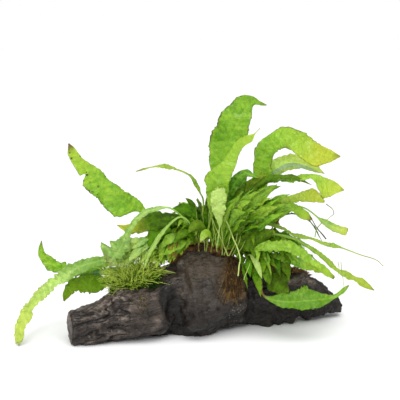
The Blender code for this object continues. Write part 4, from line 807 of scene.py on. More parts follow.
@dataclass
class LeafMesh:
    """Builds the fine skin of a leaf from its row of the table.

    Sizes in millimetres: the stem's radius at the root and where the blade begins, half the blade's
    thickness, the rib's width, the pace of the stations along and the columns from rib to margin, how
    high the margin ruffles, the blade puckers and its creases stand. cup is how far the blade's sides
    rise, as a share of their width. sway is its slow twist in degrees.
    """

    stem_radius: float = 0.85
    neck_radius: float = 0.6
    tip_radius: float = 0.22
    half_thickness: float = 0.15
    rib_width: float = 0.75
    pace: float = 1.15
    columns: int = 9
    least_stations: int = 30
    most_stations: int = 120
    ruffle: float = 1.0
    pucker: float = 0.75
    crease: float = 0.7
    cup: float = 0.12
    sway: float = 16.0

    @staticmethod
    def eased(widths: Array) -> Array:
        """Round the corners of a row of widths."""
        padded = np.pad(widths, 2, mode="edge")
        return np.convolve(padded, (0.1, 0.25, 0.3, 0.25, 0.1), mode="valid")

    @staticmethod
    def wrapped(upper: Array, lower: Array) -> Array:
        """Return rings that go back over the upper columns and on under the lower ones."""
        return np.concatenate([upper[:, ::-1], lower[:, 1:-1]], axis=1)

    def half_widths(self, leaf: Leaf, blade: Array, length: float, seed: float) -> Array:
        """Return the blade's reach to its right and left margin at each station.

        Args:
            leaf: the row of the table.
            blade: the share of the blade at each station.
            length: the leaf's length.
            seed: picks the leaf's own unevenness.

        Returns:
            Two columns, right then left.
        """
        if leaf.outline:
            rows = np.array([(row[0], row[-1], row[1]) for row in leaf.outline])
            sides = [self.eased(np.interp(blade, rows[:, 0], rows[:, side])) for side in (1, 2)]
        else:
            rise = leaf.taper * leaf.widest / (1.0 - leaf.widest)
            full = (blade / leaf.widest) ** rise * ((1.0 - blade) / (1.0 - leaf.widest)) ** leaf.taper
            sides = [0.5 * leaf.width * full] * 2
        half = np.stack(sides, axis=1)
        for column in (0, 1):
            slow = noise_line(blade * length / 11.0, seed + 5.0 * column)
            fast = noise_line(blade * length / 3.6, seed + 9.0 + 5.0 * column)
            nicks = noise_line(blade * length / 1.7, seed + 14.0 + 5.0 * column)
            uneven = leaf.wear.torn * (0.10 * slow + 0.08 * fast + 0.07 * nicks)
            half[:, column] *= np.clip(1.0 + uneven, 0.15, 1.35)
        for bite in leaf.wear.bites:
            column = 1 if bite.side > 0.0 else 0
            half[:, column] *= 1.0 - bite.depth * np.exp(-(((blade - bite.place) / bite.reach) ** 4))
        return half

    def skin(self, leaf: Leaf, foot: Array, into: Skin) -> None:
        """Add one leaf to a skin.

        Args:
            leaf: the row of the table.
            foot: where its stem starts.
            into: the skin that it goes into.
        """
        wear = leaf.wear
        seed = 1.7 * len(leaf.name) + 0.13 * sum(map(ord, leaf.name)) % 31.0
        controls = np.vstack([foot, np.array(leaf.path, float)])
        length = float(np.linalg.norm(np.diff(controls, axis=0), axis=1).sum())
        count = int(min(max(length / self.pace, self.least_stations), self.most_stations))
        middle = curve_points(controls, count)
        along = np.linspace(0.0, 1.0, count)
        blade = np.clip((along - leaf.stem) / (1.0 - leaf.stem), 0.0, 1.0)
        ahead = unit(np.gradient(middle, axis=0))
        side = unit(np.cross(np.array(leaf.face, float), ahead))
        sway = np.radians(self.sway) * noise_line(blade * length / 15.0, seed + 40.0) * smooth(blade / 0.2)
        turn = (np.radians(leaf.turn) * smooth(blade) + sway)[:, None]
        side = side * np.cos(turn) + np.cross(ahead, side) * np.sin(turn)
        face = np.cross(ahead, side)

        stem = self.stem_radius + (self.neck_radius - self.stem_radius) * smooth(along / max(leaf.stem, 0.1))
        stem = stem + (self.tip_radius - self.neck_radius) * smooth(blade)
        half = np.maximum(self.half_widths(leaf, blade, length, seed), stem[:, None])
        spread = np.sqrt(np.maximum(0.0, np.sin(math.pi * blade)))
        flat = smooth(blade / 0.14)
        columns = np.linspace(-1.0, 1.0, 2 * self.columns - 1)
        columns = np.sign(columns) * np.abs(columns) ** 0.9
        share = np.abs(columns)
        right = columns < 0.0
        reach = np.where(right[None, :], half[:, :1], half[:, 1:])
        across = columns[None, :] * reach

        sign = np.where(right, -1.0, 1.0)
        phase = 2.0 * math.pi * leaf.waves * blade[:, None] + sign[None, :] * 1.1 + len(leaf.name)
        wave = np.sin(phase) * np.minimum(1.0, reach / 5.0)
        lift = spread[:, None] * (self.cup * reach * share**1.8 + leaf.ripple * wave * share**1.9)
        waver = noise_line(blade * length / 6.0, seed + 3.0)[:, None]
        strong = 0.6 + 0.9 * np.abs(noise_line(blade * length / 8.0, seed + 6.0))[:, None]
        fast = blade[:, None] * length / 5.6 + sign[None, :] * 0.9 + 1.9 * waver
        lift = lift + wear.frill * self.ruffle * strong * spread[:, None] * np.sin(2.0 * math.pi * fast) * (
            share**2.6 * np.minimum(1.0, reach / 6.0))
        cells = np.stack([across.ravel(), np.repeat(blade * length, len(columns)),
                          np.full(across.size, seed)], axis=1)
        puff = noise_at(cells, 4.2, seed)
        crease = 1.0 - np.minimum(1.0, 3.2 * np.abs(noise_at(cells, 5.6, seed + 50.0)))
        puff = (self.pucker * puff + self.crease * (crease - 0.4)).reshape(across.shape)
        lift = lift + (0.5 + 0.5 * wear.frill) * puff * flat[:, None] * np.minimum(1.0, reach / 4.5)

        rounded = np.sqrt(np.maximum(0.0, 1.0 - share**2))[None, :] * stem[:, None]
        edge = np.sqrt(np.maximum(0.0, 1.0 - share**6))[None, :]
        rib = bell(across, self.rib_width) * (1.0 - blade[:, None]) ** 0.7
        under = rounded + flat[:, None] * ((self.half_thickness + 0.55 * rib) * edge - rounded)
        over = rounded + flat[:, None] * ((self.half_thickness + 0.12 * rib) * edge - rounded)

        torn = ramp(blade, 0.86, 1.0)[:, None] * wear.ragged
        jagged = noise_line(columns * 2.6, seed + 20.0) + 0.6 * noise_line(columns * 7.0, seed + 21.0)
        base = middle[:, None, :] + side[:, None, :] * across[:, :, None]
        base = base + ahead[:, None, :] * (torn * jagged[None, :])[:, :, None]
        upper = base + face[:, None, :] * (lift + over)[:, :, None]
        lower = base + face[:, None, :] * (lift - under)[:, :, None]

        rings = self.wrapped(upper, lower)
        past = (along - leaf.stem)[:, None] * length * np.ones_like(across)
        # darker towards the foot by dim: partly the leaf's own colour, partly painted shade inside the bush
        tone = wear.tone - wear.dim * (1.0 - smooth(blade / 0.7))[:, None]
        place = np.stack([across, past, tone * np.ones_like(across)], axis=2)
        marks = self.tint(wear, along, blade, share, seed)
        marks[:, :, 1] = np.maximum(marks[:, :, 1], wear.bare * (1.0 - smooth(blade / 0.08))[:, None])
        place, marks = self.wrapped(place, place), self.wrapped(marks, marks)
        points = np.vstack([rings.reshape(-1, 3), middle[:1], base[-1:].mean(axis=1)])
        blades, tints = (np.vstack([rows.reshape(-1, 3), rows[[0, -1], 0]]) for rows in (place, marks))
        into.add(points, ring_faces(count, rings.shape[1]), blades, tints)

    @staticmethod
    def tint(wear: Wear, along: Array, blade: Array, share: Array, seed: float) -> Array:
        """Return how yellow, brown and specked each point of a leaf is.

        Args:
            wear: the leaf's age marks.
            along: the share of the whole leaf at each station.
            blade: the share of the blade at each station.
            share: the share of the way to the margin at each column.
            seed: picks the leaf's own unevenness.

        Returns:
            A vector for each station and column.
        """
        uneven = noise_line(blade * 6.0, seed + 30.0)[:, None]
        old = ramp(blade, wear.yellow_from, 1.0)[:, None]
        yellow = wear.yellow * np.clip(old * (1.0 + 0.5 * uneven) + 0.25 * old * share[None, :], 0.0, 1.0)
        yellow = np.maximum(yellow, 0.3 * (1.0 - smooth(along / 0.3))[:, None])
        own = 0.07 + 0.07 * math.sin(7.3 * seed)
        yellow = np.maximum(yellow, own * (1.0 + 0.5 * uneven))
        dead = wear.brown * ramp(blade, wear.brown_from, 1.0)[:, None]
        root = 0.85 * (1.0 - smooth(along / 0.09))[:, None]
        rim = wear.rim * ramp(share, 0.88, 1.0)[None, :] * (blade > 0.02)[:, None]
        patchy = noise_line(blade * 17.0, seed + 33.0)[:, None]
        rim = rim * np.clip(0.45 + 1.3 * patchy, 0.0, 1.0)
        brown = np.maximum(np.maximum(dead, root), rim)
        specks = wear.specks * np.broadcast_to(blade[:, None], brown.shape)
        return np.stack([yellow * np.ones_like(brown), brown, specks], axis=2)


# Driftwood


@dataclass(frozen=True)
class WoodFinish:
    """How the dark waterlogged wood looks: linear colours and roughness."""

    slot: str = "driftwood"
    # deep: near black, the painted shade in cracks, hollows and the log's low side
    deep: Colour = (0.008, 0.005, 0.003)
    body: Colour = (0.058, 0.042, 0.032)
    # ridge: lighter ridges, partly the worn wood's own paler colour and partly a painted highlight
    ridge: Colour = (0.255, 0.202, 0.166)
    split: Colour = (0.068, 0.048, 0.029)
    dust: Colour = (0.30, 0.27, 0.24)
    stain: Colour = (0.20, 0.098, 0.009)
    roughness: float = 0.5


def wet_grain(recipe: Recipe, given: Sockets) -> dict[str, Socket]:
    """Fill the grain group: fine furrows along the wood, pores, cracks and a height for them."""
    place = given["Place"]
    push = recipe.scaled(recipe.grey(recipe.noise(place, 9.0)), 5.0)
    bent = recipe.node("ShaderNodeVectorMath", {0: place, 1: push}, operation="ADD")[0]
    lines = recipe.noise(recipe.stretched(bent, (0.16, 1.0, 1.0)), 1.5, 4.0)
    hole = recipe.remap(recipe.cells(place, 1.0 / 1.9), 0.12, 0.42)
    fine = recipe.noise(place, 0.8, 3.0)
    cut = recipe.noise(recipe.stretched(bent, (0.25, 1.0, 1.0)), 5.2, 3.0)
    thin = recipe.remap(recipe.math("ABSOLUTE", recipe.minus(cut, 0.5)), 0.03, 0.006)
    crack = recipe.times(thin, recipe.remap(recipe.noise(place, 13.0), 0.42, 0.58))
    total = recipe.plus(recipe.times(lines, 0.8), recipe.times(fine, 0.3))
    total = recipe.plus(total, recipe.times(hole, 0.3))
    total = recipe.minus(total, recipe.times(crack, 0.7))
    return {"Lines": lines, "Pores": hole, "Cracks": crack, "Height": total}


class WoodDresser:
    """Makes the wood's material from its finish."""

    def __init__(self, finish: WoodFinish) -> None:
        """Keep the finish and build its group once."""
        self.finish = finish
        outputs = {"Lines": VALUE, "Pores": VALUE, "Cracks": VALUE, "Height": VALUE}
        self.grain = shader_group("Wet grain", {"Place": VECTOR}, outputs, wet_grain)

    def material(self) -> Material:
        """Return the material.

        The stored tint holds the relief (0 in a crack, 1 on a ridge), which carries painted shade in the
        cracks and painted light on the left limb's top, the smooth split face and how dark the place is,
        which is painted shade in the hollow by the right limb and towards the bottom, with a darker right
        limb; the stored blade vector holds how dusty and how root-stained it is.
        """
        look = self.finish
        material, recipe = new_material("wet_driftwood")
        place = recipe.place()
        grain = recipe.node("ShaderNodeGroup", {"Place": place}, node_tree=self.grain)
        ridge, split, dark = recipe.parts(recipe.stored(TINT))
        dusty, stained = recipe.parts(recipe.stored(BLADE))[:2]
        blotch = recipe.noise(place, 15.0, 3.0)
        # painted shade: near black where the relief is low, in cracks, creases and pits
        colour = recipe.mix(recipe.remap(ridge, 0.12, 0.5), look.deep, look.body)
        # lighter on high ridges: partly paler worn wood, partly a painted highlight
        light = recipe.times(recipe.remap(ridge, 0.48, 0.95), recipe.remap(blotch, 0.3, 0.7, 0.35, 1.0))
        colour = recipe.mix(light, colour, look.ridge)
        fresh = recipe.times(split, recipe.remap(blotch, 0.25, 0.65, 0.45, 1.0))
        colour = recipe.mix(fresh, colour, look.split)
        streak = recipe.remap(grain["Lines"], 0.36, 0.62, 0.62, 1.12)
        colour = recipe.dimmed(colour, recipe.math("MAXIMUM", streak, recipe.times(split, 0.86)))
        colour = recipe.dimmed(colour, recipe.remap(grain["Pores"], 0.0, 1.0, 0.6, 1.0))
        # painted shade where the stored darkness says, with the darker right limb
        colour = recipe.mix(dark, colour, look.deep)
        # painted shade in the fine cracks
        colour = recipe.mix(recipe.times(grain["Cracks"], 0.75), colour, look.deep)
        stain = recipe.times(stained, recipe.remap(grain["Lines"], 0.35, 0.6, 0.25, 0.9))
        colour = recipe.mix(stain, colour, look.stain)
        fleck = recipe.remap(recipe.cells(place, 1.0 / 2.3), 0.30, 0.16)
        colour = recipe.mix(recipe.times(fleck, dusty), colour, look.dust)
        rough = recipe.remap(grain["Lines"], 0.3, 0.7, look.roughness + 0.18, look.roughness - 0.06)
        bump = recipe.bump(0.95, 0.0011, grain["Height"])
        recipe.cover(recipe.gloss(colour, rough, 0.26, {
            "Normal": bump, "Coat Weight": 0.2, "Coat Roughness": 0.16}))
        return material


def away_from(degrees: float, turns: Array) -> Array:
    """Return how many degrees angles in radians are away from a direction in degrees."""
    return (np.degrees(turns) - degrees + 180.0) % 360.0 - 180.0


def mound(along: Array | float, reach_along: float, around: Array, reach_round: float) -> Array:
    """Return 1 in the middle of an oval place on the log, falling off smoothly along and round it."""
    return np.exp(-((along / reach_along) ** 2) - (around / reach_round) ** 2)


@dataclass
class Driftwood:
    """The log: its stations, knot, split face and relief, in a frame of its own that yaw turns.

    stations are rows of place along, sideways shift, underside, top, reach to the front, to the back.
    lumps are rows of place, direction round the log in degrees, height, reach along, reach round;
    creases the same with a depth. knot is a place and direction. The depths of flutes, lumps and pits
    are shares of the section, those of fissures, checks, splits and holes millimetres.
    """

    yaw: float = math.radians(17.5)
    rings: int = 352
    sides: int = 240
    cap_rings: int = 16
    section_power: float = 0.86
    flutes: int = 6
    flute_depth: float = 0.045
    flute_twist: float = 0.03
    lump_depth: float = 0.08
    lump_size: float = 17.0
    pit_depth: float = 0.05
    pit_size: float = 7.5
    broad_height: float = 1.6
    lump_height: float = 1.1
    strand_height: float = 0.55
    crumb_height: float = 0.45
    fissure_depth: float = 1.6
    check_depth: float = 0.7
    split_depth: float = 0.6
    hole_depth: float = 1.0
    end_round: float = 1.6
    facet_lean: float = math.radians(52.0)
    facet_reach: float = 39.5
    facet_start: float = -19.0
    facet_stop: float = 33.0
    facet_fade: float = 7.0
    stations: tuple[tuple[float, ...], ...] = (
        (-103, 0, -1.6, 24.5, 12.5, 12.5), (-96, 0, -2, 26, 13.5, 13.5), (-85, 0, -2, 29, 14.5, 14.5),
        (-74, 0.5, -2, 34, 15.5, 15.5), (-64, 0.5, -1.5, 39.5, 17, 17), (-50, 0, -0.5, 43.5, 19, 19),
        (-38, 0, 0, 46, 20.5, 21), (-22, 0, -4, 54.5, 21, 23), (-12, 0, -4, 60, 25.5, 25),
        (2, 0, -4.5, 62.5, 27.5, 27), (16, 1, -0.5, 61, 27, 27), (28, 2, 2, 58, 25.5, 24),
        (36, 2, 1.5, 48.5, 20.5, 22), (46, 1.5, 0.5, 45.5, 17, 20), (58, 0, 0, 44, 17.5, 19),
        (72, 0, 2.5, 39.5, 16.5, 17), (84, 0, 2.5, 39, 15, 15.5), (96, 0, 2, 34, 13.5, 14),
        (106, 0, 2.5, 25, 11.5, 12), (114, 0, 3, 17.5, 9, 9.5), (120.5, 0, 3, 13.5, 7, 7.5),
    )
    lumps: tuple[tuple[float, ...], ...] = (
        (-66, 120, 2.5, 6, 26), (-46, 175, 2.5, 12, 40), (-23, 195, -5, 6.5, 60), (-32, 118, 3, 8, 30),
        (-10, 205, 3, 12, 30), (10, 240, -4.5, 13, 26), (22, 320, 6, 11, 22), (36, 175, -3.5, 6, 60),
        (52, 256, 7, 4.5, 22), (63, 240, 3, 3, 16), (74, 248, 5, 3.6, 22), (88, 244, 2.5, 4, 20),
        (82, 70, 2.2, 7, 30), (100, 180, 2, 10, 35),
    )
    nodes: tuple[str, ...] = ("driftwood_left_limb", "driftwood_stump", "driftwood_right_limb")
    knot: Vec2 = (-70.0, 142.0)
    creases: tuple[tuple[float, ...], ...] = (
        (-34, 150, 2.6, 3.4, 22), (-27, 175, 2.8, 4.4, 24), (-21, 205, 3, 4.2, 24), (-25, 238, 2.6, 4, 26),
        (-14, 222, 1.6, 5, 12), (37, 178, 3.2, 3.4, 55), (13, 214, 1.8, 9, 7), (-44, 214, 1.4, 14, 6),
        (-86, 158, 1.6, 16, 7), (-92, 128, 1.4, 12, 6), (62, 205, 1.6, 16, 8),
    )

    def station_values(self, along: float) -> Array:
        """Return the section's sizes at a place along the log."""
        rows = np.array(self.stations)
        index = int(np.clip(np.searchsorted(rows[:, 0], along + 1e-6) - 1, 0, len(rows) - 2))
        share = float(np.clip((along - rows[index, 0]) / (rows[index + 1, 0] - rows[index, 0]), 0.0, 1.0))
        sizes = rows[:, 1:]
        first, second = sizes[index], sizes[index + 1]
        before = sizes[index - 1] if index else 2.0 * first - second
        after = sizes[index + 2] if index + 2 < len(sizes) else 2.0 * second - first
        return spline(before, first, second, after, share)

    def ring(self, along: float, turns: Array) -> tuple[Array, Array]:
        """Return one ring of the plain log in its own frame.

        Args:
            along: the ring's place along the log.
            turns: the angles of its points.

        Returns:
            Across and up for each point, and how far each is on the split face.
        """
        shift, low, high, front, back = self.station_values(along)
        cosine, sine = np.cos(turns), np.sin(turns)
        reach = np.where(cosine > 0.0, back, front)
        across = np.sign(cosine) * np.abs(cosine) ** self.section_power * reach
        up = np.sign(sine) * np.abs(sine) ** self.section_power * 0.5 * (high - low)
        grain = self.flute_depth * np.sin(self.flutes * turns + self.flute_twist * along)
        ones = np.ones_like(turns)
        wide = np.stack([ones * along / self.lump_size, 1.5 * cosine + 4.0, 1.5 * sine], axis=1)
        near = np.stack([ones * along / self.pit_size, 3.5 * cosine, 3.5 * sine + 9.0], axis=1)
        grain = grain + self.lump_depth * noise_at(wide, 1.0) + self.pit_depth * noise_at(near, 1.0)
        length = np.hypot(across, up)
        grown = length * (1.0 + grain)
        for place, degrees, height, reach_along, reach_round in self.lumps:
            grown = grown + height * mound(along - place, reach_along, away_from(degrees, turns), reach_round)
        across, up = shift + across * grown / length, 0.5 * (low + high) + up * grown / length
        weight = smooth((along - self.facet_start) / self.facet_fade)
        weight = weight * smooth((self.facet_stop - along) / self.facet_fade)
        lean_up, lean_out = math.cos(self.facet_lean), math.sin(self.facet_lean)
        excess = up * lean_up - across * lean_out - self.facet_reach
        push = weight * np.maximum(excess, 0.0)
        across, up = across + push * lean_out, up - push * lean_up
        facet = weight * smooth((excess + 0.5) / 2.0)
        return np.stack([across, np.maximum(up, 0.0)], axis=1), facet

    def relief(self, spots: Array, turns: Array, facet: Array) -> tuple[Array, Array]:
        """Return how far the weathered skin stands off the plain log.

        Args:
            spots: points of the plain log in its own frame, one a row.
            turns: their angles round the log.
            facet: how far each is on the split face.

        Returns:
            The heights in millimetres, and how deep in a crack each point is.
        """
        along = spots[:, 0]
        swirl = 0.012 * along + 0.5 * noise_at(spots, 46.0, 3.0)
        across, up = spots[:, 1], spots[:, 2] - 22.0
        first = across * np.cos(swirl) - up * np.sin(swirl)
        second = across * np.sin(swirl) + up * np.cos(swirl)
        bend = 3.2 * noise_at(spots, 13.0, 11.0)
        grain = np.stack([along / 4.6, first + bend, second - bend], axis=1)
        coarse = noise_at(grain, 6.2, 1.0)
        middle = noise_at(grain, 2.9, 5.0)
        strands = noise_at(grain, 1.35, 9.0)
        where = 0.5 + 0.8 * noise_at(spots, 24.0, 7.0)
        limb = ramp(along, -52.0, -68.0)
        thin = ramp(along, 38.0, 52.0)
        broad = noise_at(np.stack([along / 5.5, first + bend, second - bend], axis=1), 9.0, 21.0)
        fissures = bell(coarse, 0.062) * np.clip(1.1 * where - 0.4 + 0.5 * limb, 0.0, 1.0)
        checks = bell(middle, 0.07) * np.clip(0.6 - where + 0.3 * limb, 0.0, 0.6)
        lumps = noise_at(spots, 8.5, 2.0, 3)
        crumbs = noise_at(spots, 3.3, 4.0, 2)
        rough = 1.0 - 0.85 * facet
        height = rough * (
            self.lump_height * lumps + self.broad_height * broad + self.crumb_height * crumbs
            + self.strand_height * strands - self.fissure_depth * fissures - self.check_depth * checks)
        drawn_out = spots * np.array([0.2, 1.0, 1.0])
        split = bell(noise_at(drawn_out, 3.4, 6.0), 0.055)
        split = split * facet * smooth(2.5 * noise_at(spots, 9.0, 33.0) + 0.5)
        height = height - self.split_depth * split + 0.5 * facet * noise_at(spots, 7.0, 35.0)
        crack = np.clip(0.95 * fissures + 0.6 * checks, 0.0, 1.0) * rough + 0.7 * split

        cells = noise_at(spots, 5.2, 13.0)
        stump = ramp(along, -14.0, -4.0) * ramp(along, 36.0, 28.0) * (1.0 - facet)
        pitted = np.clip(stump + 0.75 * thin, 0.0, 1.0)
        pits = ramp(cells, 0.16, 0.32) * pitted
        height = height - self.hole_depth * pits
        crack = np.maximum(crack, 0.75 * pits)

        place, degrees = self.knot
        away = np.hypot((along - place) * 0.85, away_from(degrees, turns) * 0.24)
        eye = bell(away, 8.0)
        away = away + 1.6 * noise_at(spots, 4.5, 17.0)
        rings = np.cos(away * 1.3)
        height = height + eye * (0.8 * rings - 0.2) - 1.1 * bell(away, 1.6)
        crack = np.maximum(crack, eye * smooth((0.1 - rings) / 0.8) * 0.5 * smooth(0.6 + 2.0 * where - 1.0))

        drift = 3.0 * noise_at(drawn_out, 11.0, 4.0)
        for place, degrees, depth, reach_along, reach_round in self.creases:
            fold = mound(along - (place + drift), reach_along, away_from(degrees, turns), reach_round)
            height = height - depth * fold
            crack = np.maximum(crack, np.clip(fold * depth / 2.2, 0.0, 1.0))
        return height, crack

    def build(self, material: Material) -> Object:
        """Build the whole weathered log as one grown piece.

        Args:
            material: what it is dressed with.

        Returns:
            The object.
        """
        start, stop = self.stations[0][0], self.stations[-1][0]
        places = np.linspace(start, stop, self.rings)
        turns = np.linspace(0.0, 2.0 * math.pi, self.sides, endpoint=False)
        plain = np.zeros((self.rings, self.sides, 3))
        facet = np.zeros((self.rings, self.sides))
        for index, along in enumerate(places):
            ring, facet[index] = self.ring(float(along), turns)
            plain[index, :, 0] = along
            plain[index, :, 1:] = ring
        ahead = np.gradient(plain, axis=0)
        around = np.roll(plain, -1, axis=1) - np.roll(plain, 1, axis=1)
        normal = unit(np.cross(around, ahead))
        flat_turns = np.tile(turns, self.rings)
        height, crack = self.relief(plain.reshape(-1, 3), flat_turns, facet.ravel())
        height, crack = height.reshape(facet.shape), crack.reshape(facet.shape)
        ends = np.minimum(places - start, stop - places)[:, None]
        height = height - self.end_round * (1.0 - smooth(ends / 2.2)) ** 2
        skin = plain + normal * height[:, :, None]

        caps = []
        for edge, sign in ((0, -1.0), (self.rings - 1, 1.0)):
            rim = skin[edge]
            centre = rim.mean(axis=0)
            rows = []
            for step in range(1, self.cap_rings + 1):
                share = 1.0 - step / (self.cap_rings + 0.6)
                row = centre + (rim - centre) * share
                row[:, 0] += sign * 0.9 * (1.0 - share**6)
                row[:, 0] += sign * 0.8 * noise_at(row, 4.2, 3.0, 3) * (1.0 - share**4)
                rows.append(row)
            caps.append(np.array(rows))
        stack = np.concatenate([caps[0][::-1], skin, caps[1]], axis=0)
        stack[:, :, 2] = np.maximum(stack[:, :, 2], 0.0)
        padded = (np.pad(values, ((self.cap_rings,) * 2, (0, 0))) for values in (height, crack, facet))
        marks = self.marks(stack, *padded, turns)
        middles = stack[[0, -1]].mean(axis=1)
        points = np.vstack([stack.reshape(-1, 3), middles])
        cosine, sine = math.cos(self.yaw), math.sin(self.yaw)
        turned = points.copy()
        turned[:, 0] = points[:, 0] * cosine - points[:, 1] * sine
        turned[:, 1] = points[:, 0] * sine + points[:, 1] * cosine
        tint, dust = (np.vstack([value.reshape(-1, 3), value[[0, -1], 0]]) for value in marks)
        log = Skin()
        log.add(turned, ring_faces(len(stack), self.sides), dust, tint)
        return dress(log.make("driftwood", material), self.nodes)

    @staticmethod
    def marks(stack: Array, height: Array, crack: Array, facet: Array, turns: Array) -> tuple[Array, Array]:
        """Return the values that the wood's material reads at each point.

        Args:
            stack: the log's rings in its own frame.
            height: how far each point stands off the plain log.
            crack: how deep in a crack it is.
            facet: how far it is on the split face.
            turns: the angle of each column.

        Returns:
            Relief, darker in cracks with painted shade and lighter on the left limb's top with painted light;
            split face; darkness, painted shade in the hollow by the right limb and towards the bottom,
            with a darker right limb; then dust, root stain and a spare number.
        """
        along, up = stack[:, :, 0], stack[:, :, 2]
        # painted shade: relief is darker in cracks, creases and pits
        relief = np.clip(0.5 + 0.26 * height, 0.0, 1.0) * (1.0 - 0.85 * crack)
        degrees = np.degrees(turns)[None, :]
        right = ramp(along, 34.0, 42.0)
        # painted shade in the hollow between the stump and the right limb
        saddle_shade = right * ramp(along, 58.0, 48.0)
        # painted shade: darker towards the bottom of the log and on the stump below its split face
        low = ramp(up, 26.0, 8.0) * 0.42 + 0.64 * ramp(along, -24.0, -12.0) * ramp(up, 52.0, 34.0)
        # dark sums this painted shade and a darker right limb
        dark = np.clip(0.4 * right + 0.45 * saddle_shade + low, 0.0, 0.9)
        # a lighter band along the top of the right limb, where it is not darkened
        crest = ramp(along, 62.0, 68.0) * ramp(along, 100.0, 92.0) * bell(degrees - 128.0, 22.0)
        dark = dark * (1.0 - crest)
        relief = np.maximum(relief, 0.8 * crest * (1.0 - 0.7 * crack))
        speck = ramp(along, 12.0, 20.0) * ramp(along, 34.0, 28.0)
        dust = 0.75 * speck * bell(degrees - 205.0, 24.0)
        # lit: lighter at the left end's rim, and painted light on the top of the left limb
        rim = ramp(along, -98.0, -101.0)
        lit = 0.22 * rim + 0.25 * ramp(along, -50.0, -62.0) * ramp(up, 14.0, 28.0)
        relief = np.clip(relief + lit * (1.0 - crack), 0.0, 1.0)
        fallen = np.clip((66.0 - up) / 36.0, 0.0, 1.0)
        aside = (along - (27.0 - 7.0 * fallen)) / (3.5 + 7.0 * fallen)
        stain = bell(aside, 1.0) * ramp(up, 26.0, 36.0) * ramp(along, 4.0, 12.0)
        stain = stain * np.exp(-(((degrees - 160.0) / 62.0) ** 4))
        nothing = np.zeros_like(relief)
        return np.stack([relief, facet, dark], axis=2), np.stack([dust, stain, nothing], axis=2)


# Creeping stems, roots and moss


@dataclass(frozen=True)
class FibreFinish:
    """How a fibrous part looks: dark, body and light colours, roughness, the share let through."""

    name: str
    slot: str
    dark: Colour
    body: Colour
    light: Colour
    roughness: float = 0.75
    glow: float = 0.0


RHIZOME_FINISH = FibreFinish(
    "rhizome_skin", "rhizome", (0.02, 0.010, 0.003), (0.12, 0.052, 0.010), (0.34, 0.19, 0.035))
ROOT_FINISH = FibreFinish(
    "root_fibres", "root_fibre", (0.016, 0.008, 0.003), (0.095, 0.05, 0.009), (0.36, 0.19, 0.03))
PALE_ROOT_FINISH = FibreFinish(
    "pale_roots", "root_fibre", (0.10, 0.075, 0.03), (0.26, 0.20, 0.09), (0.50, 0.42, 0.20), 0.6, 0.2)
MOSS_FINISH = FibreFinish(
    "moss_shoots", "moss", (0.02, 0.065, 0.002), (0.24, 0.42, 0.014), (0.70, 0.84, 0.14), 0.5, 0.35)
PALE_STEM_FINISH = FibreFinish(
    "pale_stems", "leaf_pale", (0.14, 0.12, 0.02), (0.34, 0.47, 0.08), (0.62, 0.74, 0.22), 0.42, 0.3)
DRY_STEM_FINISH = FibreFinish(
    "dry_stems", "root_fibre", (0.03, 0.014, 0.003), (0.17, 0.075, 0.008), (0.34, 0.17, 0.015), 0.6)
DRY_MOSS_FINISH = FibreFinish(
    "dry_moss_tufts", "dry_moss", (0.03, 0.015, 0.006), (0.17, 0.085, 0.03), (0.40, 0.22, 0.09))


def fibre_colours(recipe: Recipe, given: Sockets) -> dict[str, Socket]:
    """Fill the fibre group: a colour that goes from dark to light along each fibre, with mottling."""
    mottle = recipe.noise(given["Place"], 5.0, 3.0)
    tone = recipe.plus(recipe.parts(given["Marks"])[0], recipe.remap(mottle, 0.25, 0.75, -0.3, 0.3))
    colour = recipe.mix(recipe.remap(tone, 0.0, 0.5), given["Dark"], given["Body"])
    colour = recipe.mix(recipe.remap(tone, 0.5, 1.0), colour, given["Light"])
    return {"Colour": colour, "Height": recipe.noise(given["Place"], 0.7, 3.0)}


class FibreDresser:
    """Makes the materials of the stems, roots and moss from their finishes."""

    def __init__(self) -> None:
        """Build the fibre group once."""
        inputs = {"Place": VECTOR, "Marks": VECTOR, "Dark": COLOUR, "Body": COLOUR, "Light": COLOUR}
        self.group = shader_group("Fibre colours", inputs, {"Colour": COLOUR, "Height": VALUE}, fibre_colours)

    def material(self, finish: FibreFinish) -> Material:
        """Return the material of a finish."""
        material, recipe = new_material(finish.name)
        inputs = {"Place": recipe.place(), "Marks": recipe.stored(TINT), "Dark": finish.dark,
                  "Body": finish.body, "Light": finish.light}
        look = recipe.node("ShaderNodeGroup", inputs, node_tree=self.group)
        bump = recipe.bump(0.35, 0.0003, look["Height"])
        shader = recipe.gloss(look["Colour"], finish.roughness, 0.3, {"Normal": bump})
        if finish.glow:
            shader = recipe.lit_through(shader, finish.glow, {"Color": look["Colour"]})
        recipe.cover(shader)
        return material


def fibre(into: Skin, controls: Sequence[Array] | Array, radius: float, end: float, tone: Vec2, steps: int,
          sides: int, flat: float = 1.0) -> None:
    """Add one tapered fibre to a skin.

    Args:
        into: the skin that it goes into.
        controls: the points that it passes, one a row.
        radius: its radius at the start.
        end: its radius at the end.
        tone: how light it is at the start and at the end.
        steps: how many rings it has.
        sides: how many sides it has.
        flat: its thickness as a share of its width.
    """
    line = curve_points(np.asarray(controls, float), steps)
    share = np.linspace(0.0, 1.0, steps)
    points, faces = tube(line, radius + (end - radius) * share**1.4, sides, flat)
    tint = np.zeros((len(points), 3))
    tint[: steps * sides, 0] = np.repeat(tone[0] + (tone[1] - tone[0]) * share, sides)
    tint[-2:, 0] = tone
    into.add(points, faces, tint=tint)


